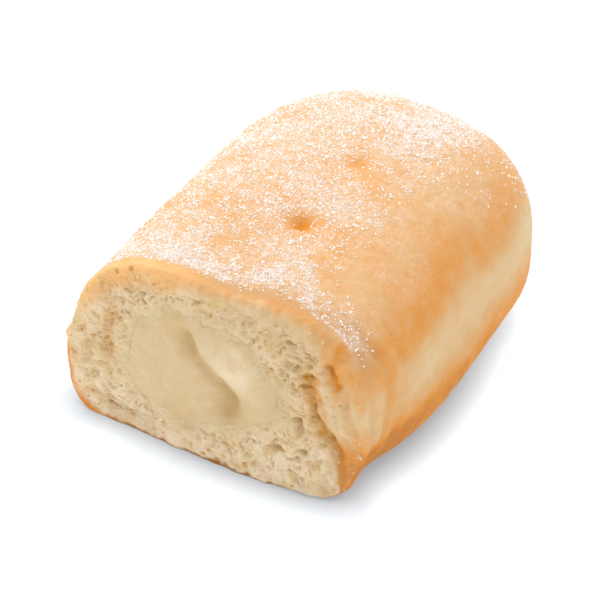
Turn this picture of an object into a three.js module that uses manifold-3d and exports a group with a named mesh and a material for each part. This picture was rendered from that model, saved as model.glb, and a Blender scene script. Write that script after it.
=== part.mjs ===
// Half of a long sugared bun filled with cream, cut across the middle.
// Millimetres, +Z up. +Y runs from the cut face to the round end, and +X across.
// The origin is on the surface that the bun rests on, under the middle of its box.
import * as THREE from "three";
import { mergeVertices } from "three/addons/utils/BufferGeometryUtils.js";
import Module from "manifold-3d";

const wasm = await Module();
wasm.setup();

// The bun's own sizes.
const LENGTH = 84; // from the cut to the round end
const HALF_WIDTH = 30.4;
const HEIGHT = 40.6; // from the table to the crown
const WAIST = 17.5; // height of the widest line
const SOLE_TRIM = 2.5; // how much of the round belly the flat sole takes away
const END_RUN = 31; // length of the rounded end
const END_FULLNESS = 2.65; // superellipse exponent of the rounded end
const CROWN_FULLNESS = 2.54; // section exponent above the waist
const BELLY_FULLNESS = { left: 6, right: 3.8, end: 2.2 }; // section exponents below the waist
const BELLY_ROUNDING = { back: 34, run: 30 }; // where the belly turns to its end's roundness
const CUT_PRESS = 2.2; // how far the knife pressed the crown down at the cut
const PRESS_RUN = 30; // length over which the pressed crown recovers
const CREAM_REACH = 1.5; // how far the cream stands out of the cut at its highest
const CUT_Y = (CREAM_REACH - LENGTH) / 2; // the whole half lies evenly about the origin

// Where the crust turns into the cut face it is rolled in, most on the right-hand side.
const ROLL = 1.8;
const RIGHT_ROLL = 4.4;

// The cream seen on the cut: an uneven oval, and the core behind it.
const CREAM = { x: -4.2, z: 18.6, halfWidth: 16, halfHeight: 11.6 };
const CREAM_SUNK = 0.4; // how far the cream's rim lies behind the plane of the cut
const CREAM_PROUD = 0.9; // how far its middle swells out of its rim
const CREAM_LENGTH = 67; // the filling stops short of the round end
const CREAM_END_RUN = 13; // length of its own rounded end
const CREAM_WANDER = { width: 1.2, run: 15 }; // how it strays sideways along the bun
const CREAM_CENTRING = { share: 0.3, run: 40 }; // how far it comes back to the middle
const CREAM_GAP = 0.3;
const HOLE_SHARE = 0.9; // the cut face is meshed inwards to this share of the cream
const POCKET_OVERSHOOT = 4; // the pocket's solid passes through the cut by this much

// The mesh of the skin, and of the cream.
const COLUMNS = 96;
const BODY_ROWS = 12;
const END_ROWS = 11;
const ROLL_ROWS = 3;
const FACE_ROWS = 11;
const CREAM_COLUMNS = 44;
const CREAM_ROWS = 6;
const CREAM_END_ROWS = 5;
const CREAM_FACE_ROWS = 9;

// Sugar: the coarser crystals, which stand out of the crust.
const CRYSTALS = 130;
const CRYSTAL_SIZE = [0.9, 1.4];
const CRYSTAL_SEED = 26;

const clamp = (v, low, high) => Math.min(high, Math.max(low, v));
const ease = (v) => {
  const t = clamp(v, 0, 1);
  return t * t * (3 - 2 * t);
};
const bell = (distance, width) => Math.exp(-((distance / width) ** 2));
const power = (v, exponent) => Math.sign(v) * Math.abs(v) ** exponent;

// Shortest distance from (x, z) to a path of [x, z] points on the cut face.
function distanceToPath(x, z, path) {
  let best = Infinity;
  for (let i = 0; i + 1 < path.length; i++) {
    const [ax, az] = path[i];
    const [bx, bz] = path[i + 1];
    const along = (x - ax) * (bx - ax) + (z - az) * (bz - az);
    const t = clamp(along / ((bx - ax) ** 2 + (bz - az) ** 2), 0, 1);
    best = Math.min(best, Math.hypot(x - ax - t * (bx - ax), z - az - t * (bz - az)));
  }
  return best;
}

// The slow unevenness of a hand-shaped roll: waves in millimetres out of the skin, each
// with the distance over which it turns by one radian along each axis.
const SWELL_WAVES = [
  { height: 0.22, x: 13, y: 9.5, z: 60, phase: 1.2 },
  { height: 0.2, x: -13, y: 10.5, z: 50, phase: 0.4 },
  { height: 0.18, x: 7.4, y: 17, z: 9, phase: 2.1 },
  { height: 0.16, x: 8.2, y: 30, z: -10, phase: 3.6 },
];
function swell(x, y, z) {
  let out = 0;
  for (const wave of SWELL_WAVES)
    out += wave.height * Math.sin(x / wave.x + y / wave.y + z / wave.z + wave.phase);
  return out;
}

// The docking holes along the crown, each a small pit in a shallow dip.
const DOCKING_HOLES = [
  { x: 2.2, back: 26 },
  { x: 2.1, back: 47 },
];
const HOLE_DIP = { deep: 0.7, wide: 6 };
const HOLE_PIT = { deep: 1.5, wide: 2.2 };
function dockingPit(x, y, z) {
  if (z < HEIGHT / 2) return 0;
  let depth = 0;
  for (const hole of DOCKING_HOLES) {
    const distance = Math.hypot(x - hole.x, y - CUT_Y - hole.back);
    for (const { deep, wide } of [HOLE_DIP, HOLE_PIT]) depth += deep * bell(distance, wide);
  }
  return depth;
}

// The pale ring round the side, a little slack between the crown and the browned foot.
const PALE_RING = { z: 19, deep: 0.45, wide: 5.5 };
const waistDip = (z) => PALE_RING.deep * bell(z - PALE_RING.z, PALE_RING.wide);

// Close to the cut, the knife squeezed the foot in on the right.
const FOOT_SQUEEZE = { back: 10.5, long: 10, deep: 2.7, z: 15, fade: 10 };
function footSqueeze(x, back, z) {
  if (x < 0) return 0;
  const reach = ease((FOOT_SQUEEZE.z - z) / FOOT_SQUEEZE.fade);
  return FOOT_SQUEEZE.deep * bell(back - FOOT_SQUEEZE.back, FOOT_SQUEEZE.long) * reach;
}

// The knife went through a little aslant, so that the left end of the cut lies back.
const CUT_TURN = { x: 8, run: 38, deep: 1.6 };
const cutTurn = (x) => CUT_TURN.deep * ease((CUT_TURN.x - x) / CUT_TURN.run);

// It dragged the crust out at that end, most at half height.
const FLARE = { x: 16, run: 9, out: 0.95, long: 12, z: 19.5, bulge: 1.5, tall: 6 };
function flare(x, back, z) {
  const out = FLARE.out * (1 + FLARE.bulge * bell(z - FLARE.z, FLARE.tall));
  return out * ease((-x - FLARE.x) / FLARE.run) * ease(1 - back / FLARE.long);
}

// Creases that the knife pushed up in the side crust, next to the cut on the right.
const SIDE_CREASES = [
  { back: 5.2, deep: 1.1, wide: 1.3, stray: 0.9 },
  { back: 9.4, deep: 0.8, wide: 1.2, stray: 1.3 },
  { back: 14.5, deep: 0.5, wide: 1.5, stray: 1.1 },
];
const CREASE_FOOT = { z: 5, run: 6 }; // where they fade out below
const CREASE_HEAD = { z: 36, run: 8 }; // and above
const CREASE_TURN = 4.6; // height over which a crease strays by one radian of its wave
function sideCrease(x, y, z) {
  if (x < 0) return 0;
  const reach = ease((z - CREASE_FOOT.z) / CREASE_FOOT.run) * ease((CREASE_HEAD.z - z) / CREASE_HEAD.run);
  let depth = 0;
  for (const { back, deep, wide, stray } of SIDE_CREASES)
    depth += deep * bell(y - CUT_Y - back - stray * Math.sin(z / CREASE_TURN + back), wide);
  return depth * reach;
}

// A point of the outer skin. back is the distance from the cut, shrink how far the
// section has closed at the round end (1 is the full section), angle runs round it.
const CROWN_CLOSING = 0.8; // the crown comes down a little slower than the sides close
const BELLY_CLOSING = 0.45; // and the belly comes up late, so that the sole stays long
const CORE_REACH = 12; // the relief fades out within this distance of the bun's own axis
function fullnessAt(angle, back) {
  if (Math.sin(angle) >= 0) return CROWN_FULLNESS;
  const side = Math.cos(angle) < 0 ? BELLY_FULLNESS.left : BELLY_FULLNESS.right;
  return side + (BELLY_FULLNESS.end - side) * ease((back - BELLY_ROUNDING.back) / BELLY_ROUNDING.run);
}
function skinPoint(back, shrink, angle) {
  const y = CUT_Y + back;
  const c = Math.cos(angle);
  const s = Math.sin(angle);
  const crown = HEIGHT - CUT_PRESS * (1 - ease(back / PRESS_RUN));
  const fullness = fullnessAt(angle, back);
  const rise =
    s >= 0 ? (crown - WAIST) * shrink ** CROWN_CLOSING : (WAIST + SOLE_TRIM) * shrink ** BELLY_CLOSING;
  let x = HALF_WIDTH * shrink * power(c, 2 / fullness);
  let z = WAIST + rise * power(s, 2 / fullness);
  const dips = waistDip(z) + dockingPit(x, y, z) + sideCrease(x, y, z);
  const out = swell(x, y, z) + flare(x, back, z) - dips;
  const reach = Math.hypot(x, z - WAIST);
  const grow = reach > 1 ? 1 + (out * Math.min(1, reach / CORE_REACH)) / reach : 1;
  x *= grow;
  z = Math.max(0, WAIST + (z - WAIST) * grow);
  x *= 1 - footSqueeze(x, back, z) / HALF_WIDTH;
  return new THREE.Vector3(x, y, z);
}

// How far the skin rolls in at the cut, in that direction of the section.
const RIGHT_SIDE = { from: 0.23, run: 0.77 }; // the cosines over which the roll grows
const rollAt = (angle) =>
  ROLL + (RIGHT_ROLL - ROLL) * ease((Math.cos(angle) - RIGHT_SIDE.from) / RIGHT_SIDE.run);

// How far behind the plane of the cut the skin ends, in that direction of the section.
function lipBack(angle) {
  const x = HALF_WIDTH * power(Math.cos(angle), 2 / fullnessAt(angle, 0));
  return rollAt(angle) + cutTurn(x);
}

// The tears and pits of the cut crumb: each a path of [x, z] points, its depth and width.
const TEARS = [
  { path: [[18.3, 31], [17.8, 26.5], [19.7, 20.3], [21.9, 15.4], [24.6, 11.4]], deep: 1.7, wide: 1.7 },
  { path: [[22.1, 29.6], [23.1, 25.1]], deep: 0.9, wide: 1.4 },
  { path: [[14.9, 32.4], [15.6, 28.8], [16.4, 26]], deep: 0.9, wide: 1.4 },
  { path: [[-22.2, 24], [-24, 19.4], [-23.4, 15]], deep: 1, wide: 1.8 },
  { path: [[17.1, 17], [17.2, 15.2]], deep: 1.6, wide: 1.6 },
  { path: [[16.8, 10.8], [14.4, 10]], deep: 1.3, wide: 1.6 },
  { path: [[-5, 28.2], [-4, 27.4]], deep: 0.6, wide: 1.6 },
  { path: [[-23, 4], [-21.6, 3.6]], deep: 0.9, wide: 1.5 },
];
const RIDGES = [
  { path: [[19.9, 31], [21.1, 26.3], [22.1, 22.3], [25.4, 16.2]], deep: 0.8, wide: 1.5 },
  { path: [[11.5, 33], [10.7, 28.5], [14, 24], [14.8, 22.6]], deep: 0.9, wide: 1.6 },
  { path: [[19.8, 17], [21.1, 13.7], [22.4, 9.4], [23.5, 5.1]], deep: 0.8, wide: 1.5 },
  { path: [[-19, 7], [-8, 3.8], [8, 3.6], [16, 5]], deep: 0.6, wide: 2.2 },
];

// How far the cut face lies behind that aslant plane, in millimetres: the waves of a soft
// cut, the tears and ridges, and slopes back towards the foot and the rolled edge on the right.
const CUT_SETBACK = 0.5;
const FOOT_SLOPE = { z: 9, deep: 1.2 };
const CUT_WAVES = [
  { height: 0.21, x: 2.3, z: 2.7, phase: 0.5 },
  { height: 0.2, x: 4.7, z: -2.7, phase: 0.5 },
  { height: 0.15, x: 1.15, z: 9, phase: 0.2 },
  { height: 0.15, x: 2.3, z: 1, phase: 1.7 },
];
const RIGHT_SLOPE = { x: 17, run: 10, deep: 2.6 };
function cutDepth(x, z) {
  let depth = CUT_SETBACK + RIGHT_SLOPE.deep * ease((x - RIGHT_SLOPE.x) / RIGHT_SLOPE.run);
  depth += FOOT_SLOPE.deep * ease((FOOT_SLOPE.z - z) / FOOT_SLOPE.z);
  for (const wave of CUT_WAVES) depth += wave.height * Math.sin(x / wave.x + z / wave.z + wave.phase);
  for (const { path, deep, wide } of TEARS) depth += deep * bell(distanceToPath(x, z, path), wide);
  for (const { path, deep, wide } of RIDGES) depth -= deep * bell(distanceToPath(x, z, path), wide);
  return depth;
}

// A closed surface of rings: rows[0] and the last row are single points, the others
// rings of the same count, listed from the back of the bun to its front.
function closedRings(rows) {
  const positions = [];
  const index = [];
  const starts = [];
  for (const row of rows) {
    starts.push(positions.length / 3);
    for (const p of row) positions.push(p.x, p.y, p.z);
  }
  for (let r = 0; r + 1 < rows.length; r++) {
    const back = rows[r].length;
    const front = rows[r + 1].length;
    const count = Math.max(back, front);
    for (let i = 0; i < count; i++) {
      const a = starts[r] + (i % back);
      const b = starts[r] + ((i + 1) % back);
      const c = starts[r + 1] + (i % front);
      const d = starts[r + 1] + ((i + 1) % front);
      if (back > 1) index.push(a, b, d);
      if (front > 1) index.push(a, d, c);
    }
  }
  const geometry = new THREE.BufferGeometry();
  geometry.setAttribute("position", new THREE.Float32BufferAttribute(positions, 3));
  geometry.setIndex(index);
  return geometry;
}

const around = (count, place) =>
  Array.from({ length: count }, (_, i) => place((2 * Math.PI * i) / count));

// The whole bun without its pocket: the round end, the body, the rolled edge and the cut.
// The rows of the body lie closer together towards the cut.
const ROW_CROWDING = 1.35;
function bunSkin() {
  const rows = [[skinPoint(LENGTH, 0, 0)]];
  const straight = LENGTH - END_RUN;
  for (let i = END_ROWS - 1; i > 0; i--) {
    const turn = (Math.PI / 2) * (i / END_ROWS);
    const back = straight + END_RUN * Math.sin(turn) ** (2 / END_FULLNESS);
    const shrink = Math.cos(turn) ** (2 / END_FULLNESS);
    rows.push(around(COLUMNS, (angle) => skinPoint(back, shrink, angle)));
  }
  for (let i = BODY_ROWS; i > 0; i--) {
    const share = (i / BODY_ROWS) ** ROW_CROWDING;
    const backOf = (angle) => lipBack(angle) + (straight - lipBack(angle)) * share;
    rows.push(around(COLUMNS, (angle) => skinPoint(backOf(angle), 1, angle)));
  }
  const edge = (angle, turn) => {
    const roll = rollAt(angle);
    const lip = skinPoint(lipBack(angle), 1, angle);
    const inward = new THREE.Vector3(-lip.x, 0, WAIST - lip.z).normalize();
    const step = roll * (1 - Math.cos(turn));
    const point = lip.clone().addScaledVector(inward, step);
    const onFace = ease((turn * 2) / Math.PI);
    const slant = (lipBack(angle) - roll) * (1 - onFace) + cutTurn(point.x) * onFace;
    point.y = CUT_Y + roll * (1 - Math.sin(turn)) + slant + cutDepth(point.x, point.z) * onFace;
    return point;
  };
  for (let i = 1; i <= ROLL_ROWS; i++)
    rows.push(around(COLUMNS, (angle) => edge(angle, (Math.PI / 2) * (i / ROLL_ROWS))));
  const rim = rows.at(-1);
  const hole = around(COLUMNS, (angle) => creamPoint(CUT_Y, HOLE_SHARE, angle, 0));
  for (let i = 1; i <= FACE_ROWS; i++)
    rows.push(
      rim.map((p, column) => {
        const q = p.clone().lerp(hole[column], i / FACE_ROWS);
        q.y = CUT_Y + cutTurn(q.x) + cutDepth(q.x, q.z);
        return q;
      }),
    );
  rows.push([new THREE.Vector3(CREAM.x, CUT_Y + cutTurn(CREAM.x), CREAM.z)]);
  return closedRings(rows);
}

// The outline of the cream in that direction, as a share of its half width and height:
// an oval with its own number of bulges in each wave.
const OUTLINE_WAVES = [
  { share: 0.045, bulges: 2, phase: -1.17 },
  { share: 0.05, bulges: 3, phase: 0.6 },
  { share: 0.02, bulges: 7, phase: 0 },
];
function creamOutline(angle) {
  let outline = 1;
  for (const wave of OUTLINE_WAVES) outline += wave.share * Math.cos(wave.bulges * angle + wave.phase);
  return outline;
}

function creamPoint(y, share, angle, grow) {
  const back = y - CUT_Y;
  const middle =
    CREAM.x * (1 - CREAM_CENTRING.share * ease(back / CREAM_CENTRING.run)) +
    CREAM_WANDER.width * Math.sin(back / CREAM_WANDER.run);
  const radius = creamOutline(angle) * share;
  return new THREE.Vector3(
    middle + (CREAM.halfWidth * radius + grow) * Math.cos(angle),
    y,
    CREAM.z + (CREAM.halfHeight * radius + grow) * Math.sin(angle),
  );
}

// The fold between the two lobes of cream, and the lobes themselves: the right one is
// higher and the left one broader.
const CREAM_FOLD = {
  path: [[-6.4, 26.5], [-2.8, 21.2], [0.3, 19.3], [4, 17.2], [2.6, 13]],
  deep: 1.9,
  wide: 1.5,
};
const CREAM_LOBES = [
  { x: 4, z: 24, high: 1.1, wide: 6.9, tall: 5.5 },
  { x: -9, z: 16, high: 0.5, wide: 9.8, tall: 7 },
];
function creamRelief(x, z) {
  let out = -CREAM_FOLD.deep * bell(distanceToPath(x, z, CREAM_FOLD.path), CREAM_FOLD.wide);
  for (const lobe of CREAM_LOBES)
    out += lobe.high * bell(Math.hypot((x - lobe.x) / lobe.wide, (z - lobe.z) / lobe.tall), 1);
  return out;
}

// The filling: a core that ends round inside the bun, and a swollen, folded front.
// grow widens it to make the pocket, which runs straight out of the cut.
const RIM_SWELL = 4; // powers that keep the bulge and the relief off the rim
const RIM_RELIEF = 6;
function creamSkin(grow, proud) {
  const endY = CUT_Y + CREAM_LENGTH + grow;
  const rows = [[creamPoint(endY, 0, 0, 0)]];
  const straightEnd = endY - CREAM_END_RUN;
  for (let i = CREAM_END_ROWS; i > 0; i--) {
    const turn = (Math.PI / 2) * (i / (CREAM_END_ROWS + 1));
    const y = straightEnd + CREAM_END_RUN * Math.sin(turn);
    const share = Math.cos(turn);
    rows.push(around(CREAM_COLUMNS, (angle) => creamPoint(y, share, angle, grow * share)));
  }
  const frontY = proud ? CUT_Y + CREAM_SUNK : CUT_Y - POCKET_OVERSHOOT;
  for (let i = 0; i <= CREAM_ROWS; i++) {
    const y = straightEnd + (frontY - straightEnd) * (i / CREAM_ROWS);
    rows.push(around(CREAM_COLUMNS, (angle) => creamPoint(y, 1, angle, grow)));
  }
  if (proud) for (const p of rows.at(-1)) p.y += cutTurn(p.x);
  const faceRows = proud ? CREAM_FACE_ROWS : 1;
  for (let i = 1; i < faceRows; i++) {
    const share = 1 - i / faceRows;
    const bulge = proud * Math.sqrt(1 - share ** RIM_SWELL);
    rows.push(
      around(CREAM_COLUMNS, (angle) => {
        const p = creamPoint(frontY, share, angle, 0);
        p.y += cutTurn(p.x) - bulge - creamRelief(p.x, p.z) * (1 - share ** RIM_RELIEF);
        return p;
      }),
    );
  }
  const tip = creamPoint(frontY, 0, 0, 0);
  tip.y += proud ? cutTurn(tip.x) - proud - creamRelief(tip.x, tip.z) : 0;
  rows.push([tip]);
  return closedRings(rows);
}

// A small repeatable random source, so that the crystals fall the same way each time.
function seededRandom(seed) {
  let state = seed;
  return () => {
    state = (state + 0x6d2b79f5) | 0;
    let t = Math.imul(state ^ (state >>> 15), 1 | state);
    t = (t + Math.imul(t ^ (t >>> 7), 61 | t)) ^ t;
    return ((t ^ (t >>> 14)) >>> 0) / 4294967296;
  };
}

// The coarse sugar crystals, spread evenly by a golden-ratio walk over the crust: each
// step goes a little further along the bun, and round it by the golden ratio.
const CRYSTAL_BAND = 0.55; // how far below the waist they reach, in radians
const CRYSTAL_START = 7; // the first lies this far from the cut
const CRYSTAL_END = 5; // and the last this far from the round end
const CRYSTAL_SHAPE = [1, 0.85, 0.7]; // its three sides, as shares of its size
function crystalBlocks() {
  const random = seededRandom(CRYSTAL_SEED);
  const golden = (Math.sqrt(5) - 1) / 2;
  const straight = LENGTH - END_RUN;
  const [low, high] = CRYSTAL_SIZE;
  const blocks = [];
  for (let i = 0; i < CRYSTALS; i++) {
    const angle = -CRYSTAL_BAND + (Math.PI + 2 * CRYSTAL_BAND) * ((i * golden) % 1);
    const run = CRYSTAL_START + (LENGTH - CRYSTAL_START - CRYSTAL_END) * ((i + random()) / CRYSTALS);
    const into = clamp((run - straight) / END_RUN, 0, 1);
    const shrink = (1 - into ** END_FULLNESS) ** (1 / END_FULLNESS);
    const at = skinPoint(run, shrink, angle);
    const size = low + (high - low) * random() ** 2;
    const block = new THREE.BoxGeometry(...CRYSTAL_SHAPE.map((share) => share * size));
    block.deleteAttribute("normal");
    block.deleteAttribute("uv");
    const turn = new THREE.Euler(2 * Math.PI * random(), 2 * Math.PI * random(), 2 * Math.PI * random());
    block.applyMatrix4(new THREE.Matrix4().makeRotationFromEuler(turn));
    block.translate(at.x, at.y, at.z);
    blocks.push(mergeVertices(block));
  }
  return blocks;
}

// Between three.js geometry and a solid that can be joined and cut.
function toSolid(geometry) {
  return new wasm.Manifold(
    new wasm.Mesh({
      numProp: 3,
      vertProperties: new Float32Array(geometry.attributes.position.array),
      triVerts: new Uint32Array(geometry.index.array),
    }),
  );
}
function toGeometry(solid) {
  const { vertProperties, triVerts } = solid.getMesh();
  const geometry = new THREE.BufferGeometry();
  geometry.setAttribute("position", new THREE.BufferAttribute(vertProperties, 3));
  geometry.setIndex(new THREE.BufferAttribute(triVerts, 1));
  geometry.computeVertexNormals();
  return geometry;
}

// The baked dough: crust and crumb in one piece, with the pocket for the cream and
// the coarse sugar stuck on the crust.
function dough() {
  let solid = toSolid(bunSkin()).subtract(toSolid(creamSkin(CREAM_GAP, 0)));
  for (const block of crystalBlocks()) solid = solid.add(toSolid(block));
  const mesh = new THREE.Mesh(
    toGeometry(solid),
    new THREE.MeshStandardMaterial({ color: "#e0a86b", roughness: 0.8, metalness: 0 }),
  );
  mesh.name = "dough";
  return mesh;
}

// The filling of set custard cream.
function cream() {
  const mesh = new THREE.Mesh(
    creamSkin(0, CREAM_PROUD),
    new THREE.MeshStandardMaterial({ color: "#e8cf9c", roughness: 0.4, metalness: 0 }),
  );
  mesh.name = "cream";
  return mesh;
}

const bun = new THREE.Group();
bun.add(dough(), cream());

export default bun;
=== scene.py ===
import math

import bmesh
import bpy
import numpy as np
from mathutils import Matrix, Vector


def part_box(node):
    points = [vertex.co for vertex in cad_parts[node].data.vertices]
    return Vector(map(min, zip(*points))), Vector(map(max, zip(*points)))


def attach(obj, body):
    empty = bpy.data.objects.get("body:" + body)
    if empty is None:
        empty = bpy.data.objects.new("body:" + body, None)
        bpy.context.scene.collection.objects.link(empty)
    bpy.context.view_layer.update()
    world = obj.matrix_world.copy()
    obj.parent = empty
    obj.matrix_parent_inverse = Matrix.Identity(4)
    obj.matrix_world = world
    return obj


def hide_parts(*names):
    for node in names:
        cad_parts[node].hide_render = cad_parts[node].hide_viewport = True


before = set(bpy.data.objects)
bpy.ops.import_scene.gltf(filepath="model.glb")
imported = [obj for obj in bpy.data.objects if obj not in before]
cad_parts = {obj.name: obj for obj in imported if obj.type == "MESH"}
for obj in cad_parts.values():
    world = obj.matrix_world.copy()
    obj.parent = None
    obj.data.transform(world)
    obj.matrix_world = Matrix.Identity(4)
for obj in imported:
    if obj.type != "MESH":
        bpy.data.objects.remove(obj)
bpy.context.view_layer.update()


# Dough
# A soft wheat dough, shaped by hand into a short roll, proved, docked with two holes along the
# top and baked on its flat sole. The oven browns the crown and the foot and leaves a pale ring
# between them. A knife then cuts it across, which bares the crumb and tears it on the right.

MM = 0.001  # the sizes in this script are in millimetres, and its meshes are in metres
LENGTH = 84.0  # from the cut to the round end
HALF_WIDTH = 30.4
HEIGHT = 40.6  # from the table to the crown
WAIST = 17.5  # height of the widest line
SOLE_TRIM = 2.5  # how much of the round belly the flat sole takes away
SOLE_EDGE = 0.8  # softness of the edge round the sole
END_RUN = 31.0  # length of the rounded end
END_FULLNESS = 2.65  # superellipse exponents of the end and of the crown
CROWN_FULLNESS = 2.54
BELLY_FULLNESS = (5.7, 3.8, 2.2)  # and of the belly: on the left, on the right, and at the end
BELLY_ROUNDING = (34.0, 30.0)  # from where, and over what run, it turns to the end's roundness
CROWN_CLOSING = 0.8  # the crown comes down a little slower than the sides close
BELLY_CLOSING = 0.45  # and the belly comes up late, so that the sole stays long
CORE_REACH = 12.0  # relief fades out within this distance of the bun's own axis
CUT_PRESS = (2.2, 1.3)  # how far the knife pressed the crown down at the cut, and on the right
PRESS_SIDES = (-0.1, 0.4)  # the cosine from which it is the right, and over what run
PRESS_RUN = 30.0  # length over which the pressed crown recovers
CUT_TURN = (1.6, 8.0, 38.0)  # it went aslant: how far back the left end lies, from what x, its run
ROLL = 1.8  # radius of the edge between crust and cut
RIGHT_ROLL = 4.4  # and on the right, where it is rolled in
RIGHT_SIDE = (0.0, 0.65)  # the cosines over which the roll grows
CUT_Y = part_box("dough")[1][1] / MM - LENGTH  # the frame says where the round end is

DOCKING_HOLES = ((2.2, 26.0, 1.0), (2.1, 47.0, 0.55))  # across, back from the cut, and how open
HOLE_DIP = (0.7, 6.0)  # depth and width of the dip round a hole, and of the pit in it
HOLE_PIT = (1.4, 1.9)
PALE_RING = (19.0, 0.45, 5.5)  # height, depth and width of the slack pale ring
FOOT_SQUEEZE = (2.7, 10.5, 10.0)  # how far the foot was pushed in on the right, where, its length
SQUEEZE_HEAD = (15.0, 10.0)  # the height where that ends, and its run
# Each crease: its distance from the cut, depth, width, and how far it strays with the height.
SIDE_CREASES = ((5.2, 1.1, 1.3, 0.9), (9.4, 0.8, 1.2, 1.3), (14.5, 0.5, 1.5, 1.1))
CREASE_FOOT = (5.0, 6.0)  # where the creases fade out below, and over what run, and above
CREASE_HEAD = (36.0, 8.0)
CREASE_TURN = 4.6
# Each wave: height, then the distance of one radian along x, y and z, and its phase.
SWELL_WAVES = (
    (0.22, 13.0, 9.5, 60.0, 1.2),
    (0.20, -13.0, 10.5, 50.0, 0.4),
    (0.18, 7.4, 17.0, 9.0, 2.1),
    (0.16, 8.2, 30.0, -10.0, 3.6),
)
# A layer of noise is its height, its size and its seed. This one is the crust's fine relief.
GRAIN = ((0.14, 5.5, 1), (0.09, 2.6, 2), (0.06, 1.3, 3))
CRUST_PORES = (0.25, 3.1, 4)  # depth, spacing and seed
PORE_SIZE = (0.24, 0.168)  # radius of a pore and of its soft rim, as shares of the spacing
FLARE = (2.5, 16.0, 9.0, 12.0)  # the dragged left edge: how far out, from what x, its run, its length
FLARE_HEIGHT = (14.0, 7.6)  # the height where it was dragged most, and over what width
TUFTS = (0.7, 7.5, 0.3)  # height and length of its torn tufts, and how much is left of them elsewhere
TUFT_NOISE = ((1.0, 1.9, 7), (0.7, 0.9, 8))


def ease(v):
    """Smooth step: 0 below 0, 1 above 1, and 3 v squared less 2 v cubed between."""
    t = np.clip(v, 0.0, 1.0)
    return t * t * (3.0 - 2.0 * t)


def beyond(v, start, run):
    """0 up to the start and 1 from a run past it, by the smooth step between."""
    return ease((v - start) / run)


def short_of(v, end, run):
    """0 from the end on and 1 from a run before it, by the smooth step between."""
    return ease((end - v) / run)


def bell(distance, width):
    """A bump of height 1: e to the power of minus the squared ratio of distance to width."""
    return np.exp(-((distance / width) ** 2))


def signed_power(v, exponent):
    """The size of v raised to the exponent, with the sign of v."""
    return np.sign(v) * np.abs(v) ** exponent


LATTICE_DRAWS = 2048  # a power of two, so that the last index also masks the others
LAST_DRAW = LATTICE_DRAWS - 1
SEED_STEP = 37  # how far apart two neighbouring seeds start in the shuffled table
SHUFFLE = np.random.default_rng(11).permutation(LATTICE_DRAWS)
DRAWS = np.random.default_rng(12).random(LATTICE_DRAWS)


def lattice_draw(i, j, k, seed):
    """A repeatable draw from 0 to 1 for each lattice point: its indices, one after another,
    step through one shuffled table."""
    step = SHUFFLE[(i + SEED_STEP * seed) & LAST_DRAW]
    step = SHUFFLE[(step + j) & LAST_DRAW]
    step = SHUFFLE[(step + k) & LAST_DRAW]
    return DRAWS[step]


def soft_noise(x, y, z, size, seed):
    """A smooth random field from -1 to 1: draws on a cubic lattice of that size, blended
    between the eight corners of each cell by the smooth step of the place in the cell."""
    px, py, pz = np.broadcast_arrays(x / size, y / size, z / size)
    i, j, k = (np.floor(p).astype(int) for p in (px, py, pz))
    u, v, w = ease(px - i), ease(py - j), ease(pz - k)
    field = np.zeros(px.shape)
    for di, share_i in ((0, 1.0 - u), (1, u)):
        for dj, share_j in ((0, 1.0 - v), (1, v)):
            for dk, share_k in ((0, 1.0 - w), (1, w)):
                field += share_i * share_j * share_k * lattice_draw(i + di, j + dj, k + dk, seed)
    return 2.0 * field - 1.0


def layered_noise(x, y, z, layers):
    """The sum of soft noise in layers, each of its height, size and seed."""
    return sum(height * soft_noise(x, y, z, size, seed) for height, size, seed in layers)


def flat_noise(x, z, layers):
    """The layered noise over the plane of the cut."""
    return layered_noise(x, 0.0 * x, z, layers)


def cell_noise(x, y, z, size, seed):
    """Distances, in cell sizes, to the nearest and the next of points scattered one to each
    lattice cell, and a draw from 0 to 1 that belongs to the nearest."""
    px, py, pz = x / size, y / size, z / size
    i, j, k = (np.floor(p).astype(int) for p in (px, py, pz))
    first = np.full(np.shape(px), 9.0)
    second = first.copy()
    own = np.zeros(np.shape(px))
    for di in (-1, 0, 1):
        for dj in (-1, 0, 1):
            for dk in (-1, 0, 1):
                ci, cj, ck = i + di, j + dj, k + dk
                away_x = ci + lattice_draw(ci, cj, ck, seed) - px
                away_y = cj + lattice_draw(ci, cj, ck, seed + 1) - py
                away_z = ck + lattice_draw(ci, cj, ck, seed + 2) - pz
                distance = np.sqrt(away_x**2 + away_y**2 + away_z**2)
                nearer = distance < first
                second = np.minimum(second, np.maximum(first, distance))
                own = np.where(nearer, lattice_draw(ci, cj, ck, seed + 3), own)
                first = np.minimum(first, distance)
    return first, second, own


def swell(x, y, z):
    """Slow unevenness: the sum of height times the sine of x, y and z over their runs."""
    out = 0.0
    for height, run_x, run_y, run_z, phase in SWELL_WAVES:
        out = out + height * np.sin(x / run_x + y / run_y + z / run_z + phase)
    return out


def near_holes(x, y, z, high, wide):
    """A bell of that height and width round each docking hole, lower where the hole has nearly
    closed, on the upper half only."""
    out = 0.0
    for hole_x, hole_back, still_open in DOCKING_HOLES:
        out = out + high * still_open * bell(np.hypot(x - hole_x, y - CUT_Y - hole_back), wide)
    return out * (z >= HEIGHT / 2)


def foot_squeeze(x, y, z):
    """How far the knife pushed the foot in on the right: a bell along the bun that fades out
    with the height."""
    deep, away, length = FOOT_SQUEEZE
    return deep * bell(y - CUT_Y - away, length) * short_of(z, *SQUEEZE_HEAD) * (x >= 0)


def cut_turn(x):
    """How far the plane of the cut lies back at that x: the knife went through aslant."""
    deep, start, run = CUT_TURN
    return deep * short_of(x, start, run)


def side_creases(x, y, z):
    """Depth of the creases on the right: bells across y that stray by a sine of the height."""
    reach = beyond(z, *CREASE_FOOT) * short_of(z, *CREASE_HEAD)
    depth = 0.0
    for away, deep, wide, stray in SIDE_CREASES:
        depth = depth + deep * bell(y - CUT_Y - away - stray * np.sin(z / CREASE_TURN + away), wide)
    return depth * reach * (x >= 0)


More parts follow.
